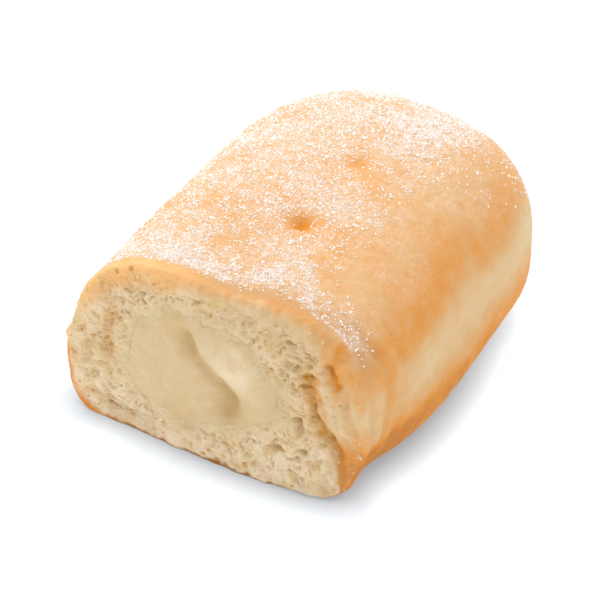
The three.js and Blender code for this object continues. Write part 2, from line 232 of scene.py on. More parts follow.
def crust_grain(x, y, z):
    """Fine relief of the crust: layered noise, less shallow pores where a scattered point is
    near."""
    deep, spacing, seed = CRUST_PORES
    near, _, own = cell_noise(x, y, z, spacing, seed)
    return layered_noise(x, y, z, GRAIN) - deep * own * short_of(near, *PORE_SIZE)


def flare(x, y, z):
    """How far the knife dragged the crust out on the left, most at the cut and at half
    height, and the ragged tufts on it, where the layered noise is more than nothing."""
    out, start, run, length = FLARE
    back = y - CUT_Y
    half_height = bell(z - FLARE_HEIGHT[0], FLARE_HEIGHT[1])
    dragged = out * half_height * ease(1.0 - back / length)
    high, length, elsewhere = TUFTS
    tuft = high * np.maximum(layered_noise(x, y, z, TUFT_NOISE), 0.0)
    tuft = tuft * (elsewhere + half_height) * ease(1.0 - back / length)
    return (dragged + tuft) * beyond(-x, start, run)


def section_power(angle, back=0.0):
    """2 over the superellipse exponent of the section in that direction and at that distance
    from the cut."""
    belly = np.where(np.cos(angle) < 0, BELLY_FULLNESS[0], BELLY_FULLNESS[1])
    belly = belly + (BELLY_FULLNESS[2] - belly) * beyond(back, *BELLY_ROUNDING)
    return 2.0 / np.where(np.sin(angle) >= 0, CROWN_FULLNESS, belly)


def skin(back, shrink, angle):
    """Outer skin in mm. The section is a superellipse about the waist, shrunk towards the
    round end, and the relief moves its points away from the axis. back is the distance from
    the cut, shrink is 1 on the full section and 0 at the pole, and angle runs round it."""
    back, shrink, angle = np.broadcast_arrays(back, shrink, angle)
    y = CUT_Y + back
    c, s, power = np.cos(angle), np.sin(angle), section_power(angle, back)
    press = CUT_PRESS[0] + (CUT_PRESS[1] - CUT_PRESS[0]) * beyond(c, *PRESS_SIDES)
    crown = HEIGHT - press * (1.0 - ease(back / PRESS_RUN))
    upper = (crown - WAIST) * shrink**CROWN_CLOSING
    lower = (WAIST + SOLE_TRIM) * shrink**BELLY_CLOSING
    x = HALF_WIDTH * shrink * signed_power(c, power)
    z = WAIST + np.where(s >= 0, upper, lower) * signed_power(s, power)
    ring_z, ring_deep, ring_wide = PALE_RING
    out = swell(x, y, z) + crust_grain(x, y, z) + flare(x, y, z) - ring_deep * bell(z - ring_z, ring_wide)
    out = out - near_holes(x, y, z, *HOLE_DIP) - near_holes(x, y, z, *HOLE_PIT) - side_creases(x, y, z)
    reach = np.maximum(np.hypot(x, z - WAIST), 1.0)
    grow = 1.0 + out * np.minimum(1.0, reach / CORE_REACH) / reach
    x = x * grow
    z = WAIST + (z - WAIST) * grow
    x = x * (1.0 - foot_squeeze(x, y, z) / HALF_WIDTH)
    z = (z + np.sqrt(z * z + SOLE_EDGE**2)) / 2.0 - SOLE_EDGE**2 / (4.0 * SOLE_TRIM)
    return np.stack([x, y, np.maximum(z, 0.0)], axis=-1)


def even_steps(curve, parameter, count):
    """count values of the parameter that cut the curve through those points into equal
    lengths, without its last point."""
    lengths = np.hypot(*np.diff(curve, axis=0).T)
    run = np.concatenate([[0.0], np.cumsum(lengths)])
    return np.interp(np.linspace(0.0, run[-1], count, endpoint=False), run, parameter)


# The tears and ridges of the cut: each a path of (x, z) points, its depth and its width.
LONG_TEAR = ((18.3, 31.0), (17.8, 26.5), (19.7, 20.3), (21.9, 15.4), (24.6, 11.4))
SHORT_TEAR = ((21.7, 30.0), (22.4, 28.0), (23.4, 25.3))
SIDE_CREASE = ((23.4, 25.3), (24.8, 21.9), (26.9, 17.2))
BROWN_TEAR = ((-22.2, 24.0), (-24.0, 19.4), (-23.4, 15.0))
SLIVER = ((19.9, 31.0), (21.1, 26.3), (22.1, 22.3), (25.4, 16.2))
SLIVER_WIDTH = 0.9
STRAND = ((11.5, 33.0), (10.7, 28.5), (14.0, 24.0), (14.8, 22.6))
STRIP = ((19.8, 17.0), (21.1, 13.7), (22.4, 9.4), (23.5, 5.1))
TEARS = (
    (LONG_TEAR[1:], 1.1, 0.9),
    (LONG_TEAR[:2], 0.4, 0.8),
    (SHORT_TEAR, 0.8, 0.6),
    (SIDE_CREASE, 0.3, 0.7),
    (((14.9, 32.4), (15.6, 28.8), (16.4, 26.0)), 0.8, 0.8),
    (BROWN_TEAR, 0.7, 1.4),
    (((17.1, 16.4), (17.2, 14.9)), 1.9, 0.9),
    (((17.9, 9.6), (17.2, 8.6)), 1.1, 0.8),
    (((13.2, 9.4), (12.2, 9.0)), 1.1, 0.8),
    (((-5.0, 28.2), (-4.0, 27.4)), 0.4, 1.2),
    (((-23.0, 4.0), (-21.6, 3.6)), 0.9, 0.8),
    (((-18.4, 3.8), (-17.4, 3.2)), 0.8, 0.7),
)
RIDGES = (
    (SLIVER, 0.7, 0.9),
    (STRAND, 0.8, 0.9),
    (STRIP, 0.8, 1.1),
    (((-19, 7), (-8, 3.8), (8, 3.6), (16, 5)), 0.6, 2.2),
)
TEAR_BENDS = ((0.5, 1.9, 34), (0.25, 0.8, 35))  # noise that bends them
TEAR_SWELLING = ((0.25, 2.2, 28),)  # and noise that widens them
CUT_SETBACK = 0.5
# Each wave of the cut: height, the distance of one radian along x and along z, and its phase.
CUT_WAVES = ((0.21, 2.3, 2.7, 0.5), (0.2, 4.7, -2.7, 0.5), (0.15, 1.15, 9.0, 0.2), (0.15, 2.3, 1.0, 1.7))
FRAYS = ((0.26, 1.3, 9), (0.16, 0.6, 10))  # fine raggedness of the cut
FOOT_SLOPE = (1.2, 9.0)  # how far the foot of the cut lies back, and from what height
RIGHT_SLOPE = (2.6, 17.0, 10.0)  # how far the right-hand edge lies back, from what x, its run
# Right of this line, from the foot up, the crumb tore off the crust, whose inside shows.
FLAP_LINE = ((25.0, 2.5), (24.3, 5.0), (23.7, 9.0), (23.3, 12.5), (21.9, 15.4), (19.7, 20.3),
             (18.2, 25.5), (19.2, 33.0))
FLAP_EDGE = (0.2, 1.1)  # how far past it the bare crust starts, and its run
FLAP_RAGGED = ((0.5, 1.6, 26),)
SLIVER_COVER = 0.85  # how much of the flap the sliver covers
FLAP_FOLDS = (0.07, 2.4)  # height and spacing of the folds in the stretched flap
FOLD_BENDS = ((2.6, 6.0, 27), (1.4, 2.2, 33))

# The cells of the crumb: size, greatest depth, share of cells left shut, and a seed.
CRUMB_CELLS = ((2.9, 0.6, 0.6, 31), (1.5, 0.5, 0.45, 41), (0.85, 0.34, 0.3, 51), (0.5, 0.16, 0.2, 61))
CELL_WALL = 0.45  # how wide the soft wall between two cells is, as a share of their size
CELL_BENDS = (((1.0, 2.7, 21), (0.4, 1.0, 22)), ((1.0, 2.7, 25), (0.4, 1.0, 26)))  # sideways, and upwards
CELL_FLATNESS = 1.25  # the cells are this much wider than high
DENSE_EDGE = (2.4, 4.5)  # the crumb is dense up to this far round the edge, and opens over a run

# The outline of the cream on the cut, which the crumb surrounds.
CREAM_MIDDLE = (-4.2, 18.6)
CREAM_HALF = (16.0, 11.6)
CREAM_LENGTH = 67.0
CREAM_WANDER = (1.2, 15.0)
CREAM_CENTRING = (0.3, 40.0)
OUTLINE_WAVES = ((0.045, 2, -1.17), (0.05, 3, 0.6), (0.02, 7, 0.0))
MOUTH_SHARE = 0.88  # the crumb runs in under the cream's smeared rim to this share of it
SMEARING = ((0.1, 4.6, 29), (0.07, 2.1, 30), (0.04, 0.9, 32))  # noise that makes that rim ragged
CREAM_END_RUN = 12.0  # length of its rounded end inside the bun


def distance_to_path(x, z, path):
    """Shortest distance from each (x, z) to the straight stretches of a path."""
    best = np.full(np.shape(x), 1e3)
    for (ax, az), (bx, bz) in zip(path, path[1:]):
        along = (x - ax) * (bx - ax) + (z - az) * (bz - az)
        t = np.clip(along / ((bx - ax) ** 2 + (bz - az) ** 2), 0.0, 1.0)
        best = np.minimum(best, np.hypot(x - ax - t * (bx - ax), z - az - t * (bz - az)))
    return best


def cream_outline(angle):
    """The cream's outline in that direction, as a share of an oval: 1 and a few cosines."""
    outline = 1.0
    for part, bulges, phase in OUTLINE_WAVES:
        outline = outline + part * np.cos(bulges * angle + phase)
    return outline


def cream_point(y, share, angle):
    """A point round the cream: its oval, with the waves of its outline, scaled by share. Its
    middle wanders sideways as it goes into the bun."""
    back = y - CUT_Y
    middle = CREAM_MIDDLE[0] * (1.0 - CREAM_CENTRING[0] * ease(back / CREAM_CENTRING[1]))
    middle = middle + CREAM_WANDER[0] * np.sin(back / CREAM_WANDER[1])
    x = middle + CREAM_HALF[0] * cream_outline(angle) * share * np.cos(angle)
    z = CREAM_MIDDLE[1] + CREAM_HALF[1] * cream_outline(angle) * share * np.sin(angle)
    return np.stack(np.broadcast_arrays(x, y, z), axis=-1)


def cream_angle(x, z):
    """The direction of (x, z) from the cream's middle, as cream_point takes it."""
    return np.arctan2((z - CREAM_MIDDLE[1]) / CREAM_HALF[1], (x - CREAM_MIDDLE[0]) / CREAM_HALF[0])


def cream_share(x, z):
    """How far (x, z) lies from the cream's middle, as a share of its outline there."""
    across, up = (x - CREAM_MIDDLE[0]) / CREAM_HALF[0], (z - CREAM_MIDDLE[1]) / CREAM_HALF[1]
    return np.hypot(across, up) / cream_outline(np.arctan2(up, across))


def crumb_pores(x, z, arc):
    """Depth of the crumb's pores: at each size, cells deep in their middles and shallow at
    the walls between them. A part of the cells stays shut, soft noise bends them all, and
    they close up towards the edge, from which arc is measured along the surface."""
    bend_x, bend_z = x + flat_noise(x, z, CELL_BENDS[0]), z + flat_noise(x, z, CELL_BENDS[1])
    depth = 0.0
    for size, deep, shut, seed in CRUMB_CELLS:
        near, after, own = cell_noise(bend_x, 0.0 * bend_x, bend_z * CELL_FLATNESS, size, seed)
        depth = depth + deep * beyond(own, shut, 1.0 - shut) * ease((after - near) / CELL_WALL)
    return depth * beyond(arc, *DENSE_EDGE)


def past_flap_line(x, z):
    """Distance to the right of the line where the crumb tore off the crust."""
    line_x, line_z = np.array(FLAP_LINE).T
    return x - np.interp(z, line_z, line_x)


def flap_share(x, z):
    """1 on the bare inside of the torn crust, and 0 on the crumb, of which a sliver still
    hangs on it."""
    sliver = bell(distance_to_path(x, z, SLIVER), SLIVER_WIDTH)
    torn_off = beyond(past_flap_line(x, z) + flat_noise(x, z, FLAP_RAGGED), *FLAP_EDGE)
    return torn_off * (1.0 - SLIVER_COVER * sliver)


def flap_fold(x, z):
    """Folds of the stretched flap: a sine of the distance past the line, bent by noise."""
    turns = 2.0 * np.pi * past_flap_line(x, z) / FLAP_FOLDS[1]
    return np.sin(turns + flat_noise(x, z, FOLD_BENDS))


def bent(x, z):
    """x moved sideways by noise, so that the tears don't run straight."""
    return x + flat_noise(x, z, TEAR_BENDS)


def cut_depth(x, z):
    """How far the cut face lies behind the plane of the cut, before its pores: slow waves,
    tears, ridges, folds, and slopes back towards the foot and the right-hand edge."""
    right_deep, right_x, right_run = RIGHT_SLOPE
    depth = CUT_SETBACK + right_deep * beyond(x, right_x, right_run)
    depth = depth + FOOT_SLOPE[0] * ease(1.0 - z / FOOT_SLOPE[1])
    for height, run_x, run_z, phase in CUT_WAVES:
        depth = depth + height * np.sin(x / run_x + z / run_z + phase)
    bent_x, swelling = bent(x, z), 1.0 + flat_noise(x, z, TEAR_SWELLING)
    for sign, marks in ((1.0, TEARS), (-1.0, RIDGES)):
        for path, deep, wide in marks:
            depth = depth + sign * deep * bell(distance_to_path(bent_x, z, path), wide * swelling)
    return depth - FLAP_FOLDS[0] * flap_fold(x, z) * flap_share(x, z)


# The crust is a grid of rings of coarse columns, and the cut one of twice as many.
COARSE_COLUMNS = 340
END_ROWS = 40
BODY_ROWS = 74
EDGE_ROWS = 14
FACE_ROWS = 69
POCKET_ROWS = 3
ROW_CROWDING = 1.35
LAST_ROW_BACK = 0.12  # the last coarse row lies this far behind the edge
SECTION_STEPS = 20001  # points that the lengths along the section and the round end are measured with
END_STEPS = 4001

turn_round = np.linspace(0.0, 2.0 * np.pi, SECTION_STEPS)
section_rise = np.where(np.sin(turn_round) >= 0, HEIGHT - WAIST, WAIST)
section = np.stack([HALF_WIDTH * signed_power(np.cos(turn_round), section_power(turn_round)),
                    section_rise * signed_power(np.sin(turn_round), section_power(turn_round))], axis=-1)
fine_angles = even_steps(section, turn_round, 2 * COARSE_COLUMNS)
coarse_angles = fine_angles[::2]


def roll_at(angle):
    """Radius of the edge in that direction: it grows towards the right-hand side."""
    return ROLL + (RIGHT_ROLL - ROLL) * beyond(np.cos(angle), *RIGHT_SIDE)


def lip_back(angle):
    """How far behind the plane of the cut the skin ends in that direction: by the radius of
    the edge, and as the cut is turned."""
    return roll_at(angle) + cut_turn(HALF_WIDTH * signed_power(np.cos(angle), section_power(angle)))


RUFFLES = ((0.32, 2.6, 35), (0.22, 1.1, 36), (0.1, 0.55, 37))  # unevenness of the edge
RUFFLE_RUN = 0.6  # the ruffles are longer round the edge than along it by 1 over this
SOAKED = (1.24, 0.24)  # the crumb is soaked up to this share of the cream's outline, and the run
SOAK_CLOSES = (0.6, 0.5)  # how much of its pores and of its frays that takes away
FLAP_CLOSES = 0.9  # how much of the pores the bare crust takes away

# The round end, from the pole to where the section is full.
straight = LENGTH - END_RUN
turns = np.linspace(np.pi / 2, 0.0, END_STEPS)
meridian = np.stack([END_RUN * signed_power(np.sin(turns), 2.0 / END_FULLNESS),
                     HALF_WIDTH * np.maximum(np.cos(turns), 0.0) ** (2.0 / END_FULLNESS)], axis=-1)
end_turns = even_steps(meridian, turns, END_ROWS)[1:, None]
end_back = straight + END_RUN * np.sin(end_turns) ** (2.0 / END_FULLNESS)
end_shrink = np.cos(end_turns) ** (2.0 / END_FULLNESS)
end_skin = skin(end_back, end_shrink, coarse_angles[None])

# The body, whose rows lie closer together towards the cut.
row_share = (np.arange(BODY_ROWS, 0, -1)[:, None] / BODY_ROWS) ** ROW_CROWDING
body_start = lip_back(coarse_angles)[None]
body_skin = skin(body_start + (straight - body_start) * row_share, 1.0, coarse_angles[None])
body_skin[-1] = skin(body_start[0] + LAST_ROW_BACK, 1.0, coarse_angles)
crust_points = np.concatenate([end_skin, body_skin])

# The edge: a quarter turn from the skin into the cut.
roll, slant = roll_at(fine_angles)[None], (lip_back(fine_angles) - roll_at(fine_angles))[None]
lip = skin(lip_back(fine_angles), 1.0, fine_angles)
inward = np.stack([-lip[:, 0], WAIST - lip[:, 2]], axis=-1)
inward /= np.linalg.norm(inward, axis=-1, keepdims=True)
edge_turn = (np.pi / 2) * (np.arange(EDGE_ROWS)[:, None] / (EDGE_ROWS - 1))
on_face = ease(edge_turn * 2.0 / np.pi)
edge_arc = roll * edge_turn
ruffle = layered_noise(lip[None, :, 0], RUFFLE_RUN * edge_arc, lip[None, :, 2], RUFFLES)
step = roll * (1.0 - np.cos(edge_turn)) + ruffle * np.sin(2.0 * edge_turn)
edge_x = lip[None, :, 0] + inward[None, :, 0] * step
edge_z = lip[None, :, 2] + inward[None, :, 1] * step
edge_flap = flap_share(edge_x, edge_z)
edge_pits = crumb_pores(edge_x, edge_z, edge_arc) * (1.0 - edge_flap)
edge_y = CUT_Y + roll * (1.0 - np.sin(edge_turn)) + slant * (1.0 - on_face) + (
    cut_turn(edge_x) + cut_depth(edge_x, edge_z) + flat_noise(edge_x, edge_z, FRAYS) + edge_pits) * on_face
edge_points = np.stack([edge_x, edge_y, np.maximum(edge_z, 0.0)], axis=-1)

# The cut face, from the rim to the mouth of the pocket.
rim = edge_points[-1][:, [0, 2]]
mouth_angle = cream_angle(rim[:, 0], rim[:, 1])
mouth = cream_point(CUT_Y, MOUTH_SHARE, mouth_angle)[:, [0, 2]]
inner = (np.arange(1, FACE_ROWS + 1) / FACE_ROWS)[:, None, None]
face_xz = rim[None] + (mouth - rim)[None] * inner
face_x, face_z = face_xz[..., 0], face_xz[..., 1]
face_arc = roll * np.pi / 2 + np.linalg.norm(face_xz - rim[None], axis=-1)
soak = short_of(cream_share(face_x, face_z) - flat_noise(face_x, face_z, SMEARING), *SOAKED)
face_flap = flap_share(face_x, face_z)
face_pits = crumb_pores(face_x, face_z, face_arc) * (1.0 - SOAK_CLOSES[0] * soak)
face_pits *= 1.0 - FLAP_CLOSES * face_flap
face_frays = flat_noise(face_x, face_z, FRAYS) * (1.0 - SOAK_CLOSES[1] * soak)
face_y = CUT_Y + cut_turn(face_x) + cut_depth(face_x, face_z) + face_frays
face_points = np.stack([face_x, face_y + face_pits, face_z], axis=-1)

# The pocket that the cream fills.
pocket_share = np.arange(1, POCKET_ROWS + 1)[:, None] / POCKET_ROWS
mouth_y = face_points[-1, :, 1][None]
pocket_y = mouth_y + (CUT_Y + CREAM_LENGTH - CREAM_END_RUN - mouth_y) * pocket_share
pocket_points = cream_point(pocket_y, MOUTH_SHARE, mouth_angle[None])
fine_points = np.concatenate([edge_points, face_points, pocket_points])


def ring_faces(coarse_start, fine_start, columns, growth):
    """Corner numbers of the faces between two neighbouring rings: quads where both have the
    same columns, and three triangles for each coarse step where the second has twice as many."""
    here = np.arange(columns)
    beside = (here + 1) % columns
    if growth == 1:
        corners = [coarse_start + here, coarse_start + beside, fine_start + beside, fine_start + here]
        return np.stack(corners, axis=-1).tolist()
    low, middle, high = fine_start + 2 * here, fine_start + 2 * here + 1, fine_start + 2 * beside
    fans = ([coarse_start + here, middle, low], [coarse_start + here, coarse_start + beside, middle],
            [coarse_start + beside, high, middle])
    return np.concatenate([np.stack(fan, axis=-1) for fan in fans]).tolist()


def closed_surface(name, blocks, first_pole, last_pole, marks):
    """A closed mesh in metres from blocks of rings of points in mm. Neighbouring rings are
    joined face by face, and a fan of triangles closes each end at its pole. marks holds one
    array of values to each block for each attribute's name."""
    rings = [ring for block in blocks for ring in block]
    starts = np.concatenate([[0], np.cumsum([len(ring) for ring in rings])])
    faces = []
    for number in range(len(rings) - 1):
        columns, growth = len(rings[number]), len(rings[number + 1]) // len(rings[number])
        faces += ring_faces(starts[number], starts[number + 1], columns, growth)
    here, there = np.arange(len(rings[0])), np.arange(len(rings[-1]))
    first_fan = [np.full(len(here), starts[-1]), (here + 1) % len(here), here]
    last_fan = [np.full(len(there), starts[-1] + 1), starts[-2] + there,
                starts[-2] + (there + 1) % len(there)]
    faces += np.stack(first_fan, axis=-1).tolist() + np.stack(last_fan, axis=-1).tolist()
    points = np.concatenate([block.reshape(-1, 3) for block in blocks] + [[first_pole, last_pole]])
    mesh = bpy.data.meshes.new(name)
    mesh.from_pydata((points * MM).tolist(), [], faces)
    for label, values in marks.items():
        ends = [values[0][0].mean(), values[-1][-1].mean()]
        data = np.concatenate([block.ravel() for block in values] + [ends]).astype(np.float32)
        mesh.attributes.new(label, "FLOAT", "POINT").data.foreach_set("value", data)
    mesh.shade_smooth()
    piece = bpy.data.objects.new(name, mesh)
    bpy.context.scene.collection.objects.link(piece)
    return piece


# How brown the crust is, from 0 for the palest to 1 for the darkest. An inner pair of numbers is
# a place and the run over which the effect comes or goes there.
CROWN_BROWN = 0.5
TOP_PALING = (0.06, (31.0, 8.0))  # the very top is a little paler: how much, from what height
PALE_BAND = (0.3, (14.5, 4.0), (27.0, 6.0))  # how much paler, its foot and its head
BAND_START = (0.75, (20.0, 10.0), (0.0, 10.0))  # how much is lost by the cut, how far back, from what x
BAND_DRIFT = ((1.6, 12.0, 61), (0.8, 4.5, 62))  # noise that moves its head, and its foot by less
FOOT_DRIFT = 0.5
HEAD_RISE = (3.6, (18.0, 32.0))  # how much higher its head is far from the cut, from how far back
FOOT_RISE = (5.5, (34.0, 40.0))
ORANGE_LINE = (0.2, 2.4, 3.8)  # how much browner, how far above the band's head, its width
FAR_PALING = (0.1, (34.0, 26.0), (9.0, 8.0), (8.0, 8.0))  # how far back, over the head, at what x
BROWN_FOOT = (0.72, (15.0, 5.5))  # how much browner, from what height down
FOOT_FADING = (0.4, (4.0, 60.0))  # how much of that is lost towards the round end
FOOT_SPOTS = ((0.14, 2.6, 59),)
BROWN_SPOTS = ((0.09, 9.0, 63), (0.08, 3.4, 64), (0.06, 1.5, 65))
HOLE_BLUSH = ((0.12, 7.5), (0.34, 2.6))  # round each docking hole: how much browner, and how wide
RIM_BLUSH = (0.15, ((10.0, 3.4), (18.0, 3.5), (25.0, 3.0)), 3.2, (24.0, 6.0))  # (x, back), width
RIM_PATCHES = ((0.8, 2.8, 58),)
SIDE_STREAKS = (0.22, (18.0, 12.0), (14.0, 8.0))  # how much browner, how far back, from what x
STREAK_LINES = (0.7, 0.16)  # how far they lean back with x, and how much they are drawn out upwards
STREAK_NOISE = ((1.0, 1.9, 60),)
LEFT_PALING = (0.32, (20.0, 8.0), (9.0, 9.0))  # the dragged edge: how much paler, how far left, how far back


def browning(x, y, z):
    """How brown the crust is: the crown is golden, a pale band runs round the side with an
    orange line above it, and the foot is brown. Streaks cross the band next to the cut."""
    back = y - CUT_Y
    drift = layered_noise(x, y, z, BAND_DRIFT)
    paler, foot, (head, head_run) = PALE_BAND
    rise, far = HEAD_RISE
    over_head = z - head - rise * beyond(back, *far)
    rise, far = FOOT_RISE
    over_foot = z - rise * beyond(back, *far) - FOOT_DRIFT * drift
    band = beyond(over_foot, *foot) * short_of(over_head - drift, 0.0, head_run)
    lost, near, right = BAND_START
    brown = CROWN_BROWN - paler * band * (1.0 - lost * short_of(back, *near) * beyond(x, *right))
    paler, high = TOP_PALING
    brown -= paler * beyond(z, *high)
    browner, above, wide = ORANGE_LINE
    brown += browner * bell(over_head - above - drift, wide)
    paler, far, low, right = FAR_PALING
    brown -= paler * beyond(back, *far) * short_of(over_head, *low) * beyond(x, *right)
    browner, low = BROWN_FOOT
    lost, far = FOOT_FADING
    on_foot = short_of(over_foot, *low)
    brown += (browner * (1.0 - lost * beyond(back, *far)) + layered_noise(x, y, z, FOOT_SPOTS)) * on_foot
    brown += layered_noise(x, y, z, BROWN_SPOTS)
    for browner, wide in HOLE_BLUSH:
        brown += near_holes(x, y, z, browner, wide)
    browner, line, wide, high = RIM_BLUSH
    patchy = 1.0 + layered_noise(x, y, z, RIM_PATCHES)
    brown += browner * patchy * bell(distance_to_path(x, back, line), wide) * beyond(z, *high)
    browner, near, right = SIDE_STREAKS
    lean, drawn_out = STREAK_LINES
    streak = layered_noise(0.0 * x, y - lean * x, drawn_out * z, STREAK_NOISE) * (1.0 - on_foot)
    brown += browner * streak * short_of(back, *near) * beyond(x, *right)
    paler, left, near = LEFT_PALING
    return brown - paler * beyond(-x, *left) * short_of(back, *near)


# Sugar lies thickest on the crown, in drifts, and thins out down the sides.
CROWN_SUGAR = (0.64, (25.0, 12.0))  # how thick, from what height
RIGHT_THINNING = (4.0, 14.0)  # from what x it lies thinner on the right
CRYSTALS_THIN = 0.97  # how much thinner the crystals lie there, and the dust between them
DUST_THIN = 0.55
FRONT_SUGAR = (0.24, (18.0, 12.0), (28.0, 8.0))  # how much thicker by the cut, how far back, how high
BARE_CORNER = (0.82, ((-7.0, 2.6), (-1.0, 3.2), (8.0, 5.0), (18.0, 3.0)), 3.6)  # how much less, (x, back)
# Each drift: how thick, a path of (x, back), and its width.
SUGAR_DRIFTS = (
    (0.7, ((-14.0, 6.5), (-1.7, 6.8), (6.0, 11.9)), 2.0),
    (0.7, ((7.3, 17.5), (10.5, 13.0), (15.0, 6.4)), 1.3),
    (0.35, ((17.0, 5.2), (23.4, 5.5)), 1.3),
)
DRIFTS_ABOVE = 30.0  # height
BACK_DRIFT = (0.5, (9.0, 70.0), 12.0, (18.0, 6.0))  # how thick, its middle, its width, from what height
BARE_HOLES = (1.0, 4.0)  # how bare it is round the docking holes, and how widely
BARE_EDGE = (2.7, 2.4)  # the edge is bare up to this far back, and the run
BARE_LEFT = (0.4, (0.0, 14.0))  # and how much further at the left
SUGAR_CLUMPS = ((0.5, 8.0, 66), (0.5, 2.6, 67))
SUGAR_LOST = 0.04  # where it lies thinner than this, it fell off
SUGAR_MOST = 1.6


def sugaring(x, y, z, thinner):
    """How thickly the sugar lies, from 0 for bare to the most, where it lies that much thinner
    on the right."""
    back = y - CUT_Y
    thick, high = CROWN_SUGAR
    cover = thick * beyond(z, *high) * (1.0 - thinner * beyond(x, *RIGHT_THINNING))
    thick, near, high = FRONT_SUGAR
    cover += thick * short_of(back, *near) * beyond(z, *high)
    less, line, wide = BARE_CORNER
    cover *= 1.0 - less * bell(distance_to_path(x, back, line), wide)
    for thick, line, wide in SUGAR_DRIFTS:
        cover += thick * bell(distance_to_path(x, back, line), wide) * (z > DRIFTS_ABOVE)
    thick, (drift_x, drift_back), wide, high = BACK_DRIFT
    cover += thick * bell(np.hypot(x - drift_x, back - drift_back), wide) * beyond(z, *high)
    cover *= (1.0 + layered_noise(x, y, z, SUGAR_CLUMPS)) * (1.0 - near_holes(x, y, z, *BARE_HOLES))
    bare, run = BARE_EDGE
    more, left = BARE_LEFT
    cover *= beyond(back - cut_turn(x), bare + more * short_of(x, *left), run)
    return np.clip(cover - SUGAR_LOST, 0.0, SUGAR_MOST)


# How far the crust's colour comes round the edge before the crumb starts, and how softly: at
# the foot, and then how much more at the crown and at the left. The crown is scuffed on the
# right: by how much less it comes round there, at which x.
EDGE_REACH = (1.0, 2.3, 0.1)
EDGE_FADE = (1.2, 2.4, 1.0)
EDGE_CROWN = (16.0, 16.0)
EDGE_LEFT = (18.0, 8.0)
EDGE_SCUFF = ((-12.0, 0.3), (-5.0, 3.0), (0.0, 4.0), (9.0, 4.6), (15.0, 2.2), (20.0, 0.6), (24.0, 0.3))
EDGE_RAGGED = ((0.7, 2.2, 65), (0.9, 0.9, 68))
FOOT_RAGGED = 0.35  # how much of that raggedness the foot has


def crumb_share(x, z, arc):
    """1 on the crumb and 0 on the crust, by the length along the surface since the edge began."""
    crown, left = beyond(z, *EDGE_CROWN), beyond(-x, *EDGE_LEFT)
    start, fade = (foot + more * crown + side * left for foot, more, side in (EDGE_REACH, EDGE_FADE))
    start = start - crown * np.interp(x, *np.array(EDGE_SCUFF).T)
    ragged = flat_noise(x, z, EDGE_RAGGED) * (FOOT_RAGGED + (1.0 - FOOT_RAGGED) * crown)
    return ease((arc - start + ragged) / fade)


# The edge at the upper left is thin and golden, and the light that shines through it is painted into its
# colour.
GOLDEN_PAINTED_LIGHT_EDGE = ((-4.0, 10.0), (18.0, 10.0))  # left of what x, and above what height
GOLDEN_PAINTED_LIGHT_BAND = (1.4, 3.4)  # how far round the edge it lies, and its width


def golden_and_painted_light(x, z, arc):
    """1 on the golden edge, whose light is painted in, and 0 away from it, by the length round the edge."""
    left, high = GOLDEN_PAINTED_LIGHT_EDGE
    middle, wide = GOLDEN_PAINTED_LIGHT_BAND
    return short_of(x, *left) * beyond(z, *high) * bell(arc - middle, wide)


# Under the crown the rim is darker and duller from the middle to the right: how much, how far round the
# edge, and over what width, on the crumb and on the crust above it.
CRUMB_DULLING = (0.28, 2.5, 5.0)
CRUST_DULLING = (0.85, -2.6, 3.4)
DULLED_PART = ((-9.0, 9.0), (26.0, 6.0))  # from what x, and from what height


def dulled_rim(x, z, arc, dulling):
    """How much darker and duller the rim is: a bell across it, under the crown and right of the middle."""
    strength, middle, wide = dulling
    right, high = DULLED_PART
    return strength * bell(arc - middle, wide) * beyond(x, *right) * beyond(z, *high)


# The crust of the sole lay on the hot plate and is browner, and painted contact shadow is added to it, so a
# dark line shows at the foot of the cut: how dark, up to what height, how far back, and from what x.
SOLE_SCORCH_AND_SHADOW = (0.75, (1.7, 1.3), (7.0, 7.0), (-27.0, 8.0))


def scorched_and_shadowed(x, y, z):
    """How dark the sole's crust is, with its painted contact shadow: it fades upwards, to the back and to
    the left.
    """
    strength, low, near, right = SOLE_SCORCH_AND_SHADOW
    return strength * short_of(z, *low) * short_of(y - CUT_Y, *near) * beyond(x, *right)


# How strongly a tear shows the browned crust behind it, with painted shade in its crease, and how widely.
TEAR_STAINS_AND_SHADE = (
    (LONG_TEAR[1:], 1.0, 0.95),
    (LONG_TEAR[:2], 0.5, 0.8),
    (SHORT_TEAR, 0.8, 0.6),
    (SIDE_CREASE, 0.3, 0.8),
    (BROWN_TEAR, 0.5, 1.5),
    (((-26.6, 4.6), (-24.0, 5.4), (-22.4, 4.6)), 0.55, 1.3),
    (((-30.2, 12.6), (-29.4, 10.4)), 0.35, 0.8),
)
STAIN_AND_SHADE_BROWN = 0.5  # how much browner it makes the cut
CRUMB_PAINTED_SHADE = (0.19, (6.0, 10.0))  # how much darker the crumb is above the foot, as painted shade
TEAR_PAINTED_SHADE = (0.4, 1.6, (26.0, 4.0))  # and painted shade in tears deeper than this, short of what x
FLAP_SHARES = (0.9, 0.12, 0.1)  # how much crumb the flap loses, how much painted shade browns its grooves, its paling
FLAP_STREAKS = ((0.16, 1.1, 5.0, 81), (0.1, 2.6, 2.6, 82))  # how much browner, width, height and seed

crust_x, crust_y, crust_z = np.moveaxis(crust_points, -1, 0)
crust_sugar = sugaring(crust_x, crust_y, crust_z, CRYSTALS_THIN)
crust_arc = CUT_Y + lip_back(coarse_angles)[None] - crust_y
bare = np.zeros(crust_x.shape)

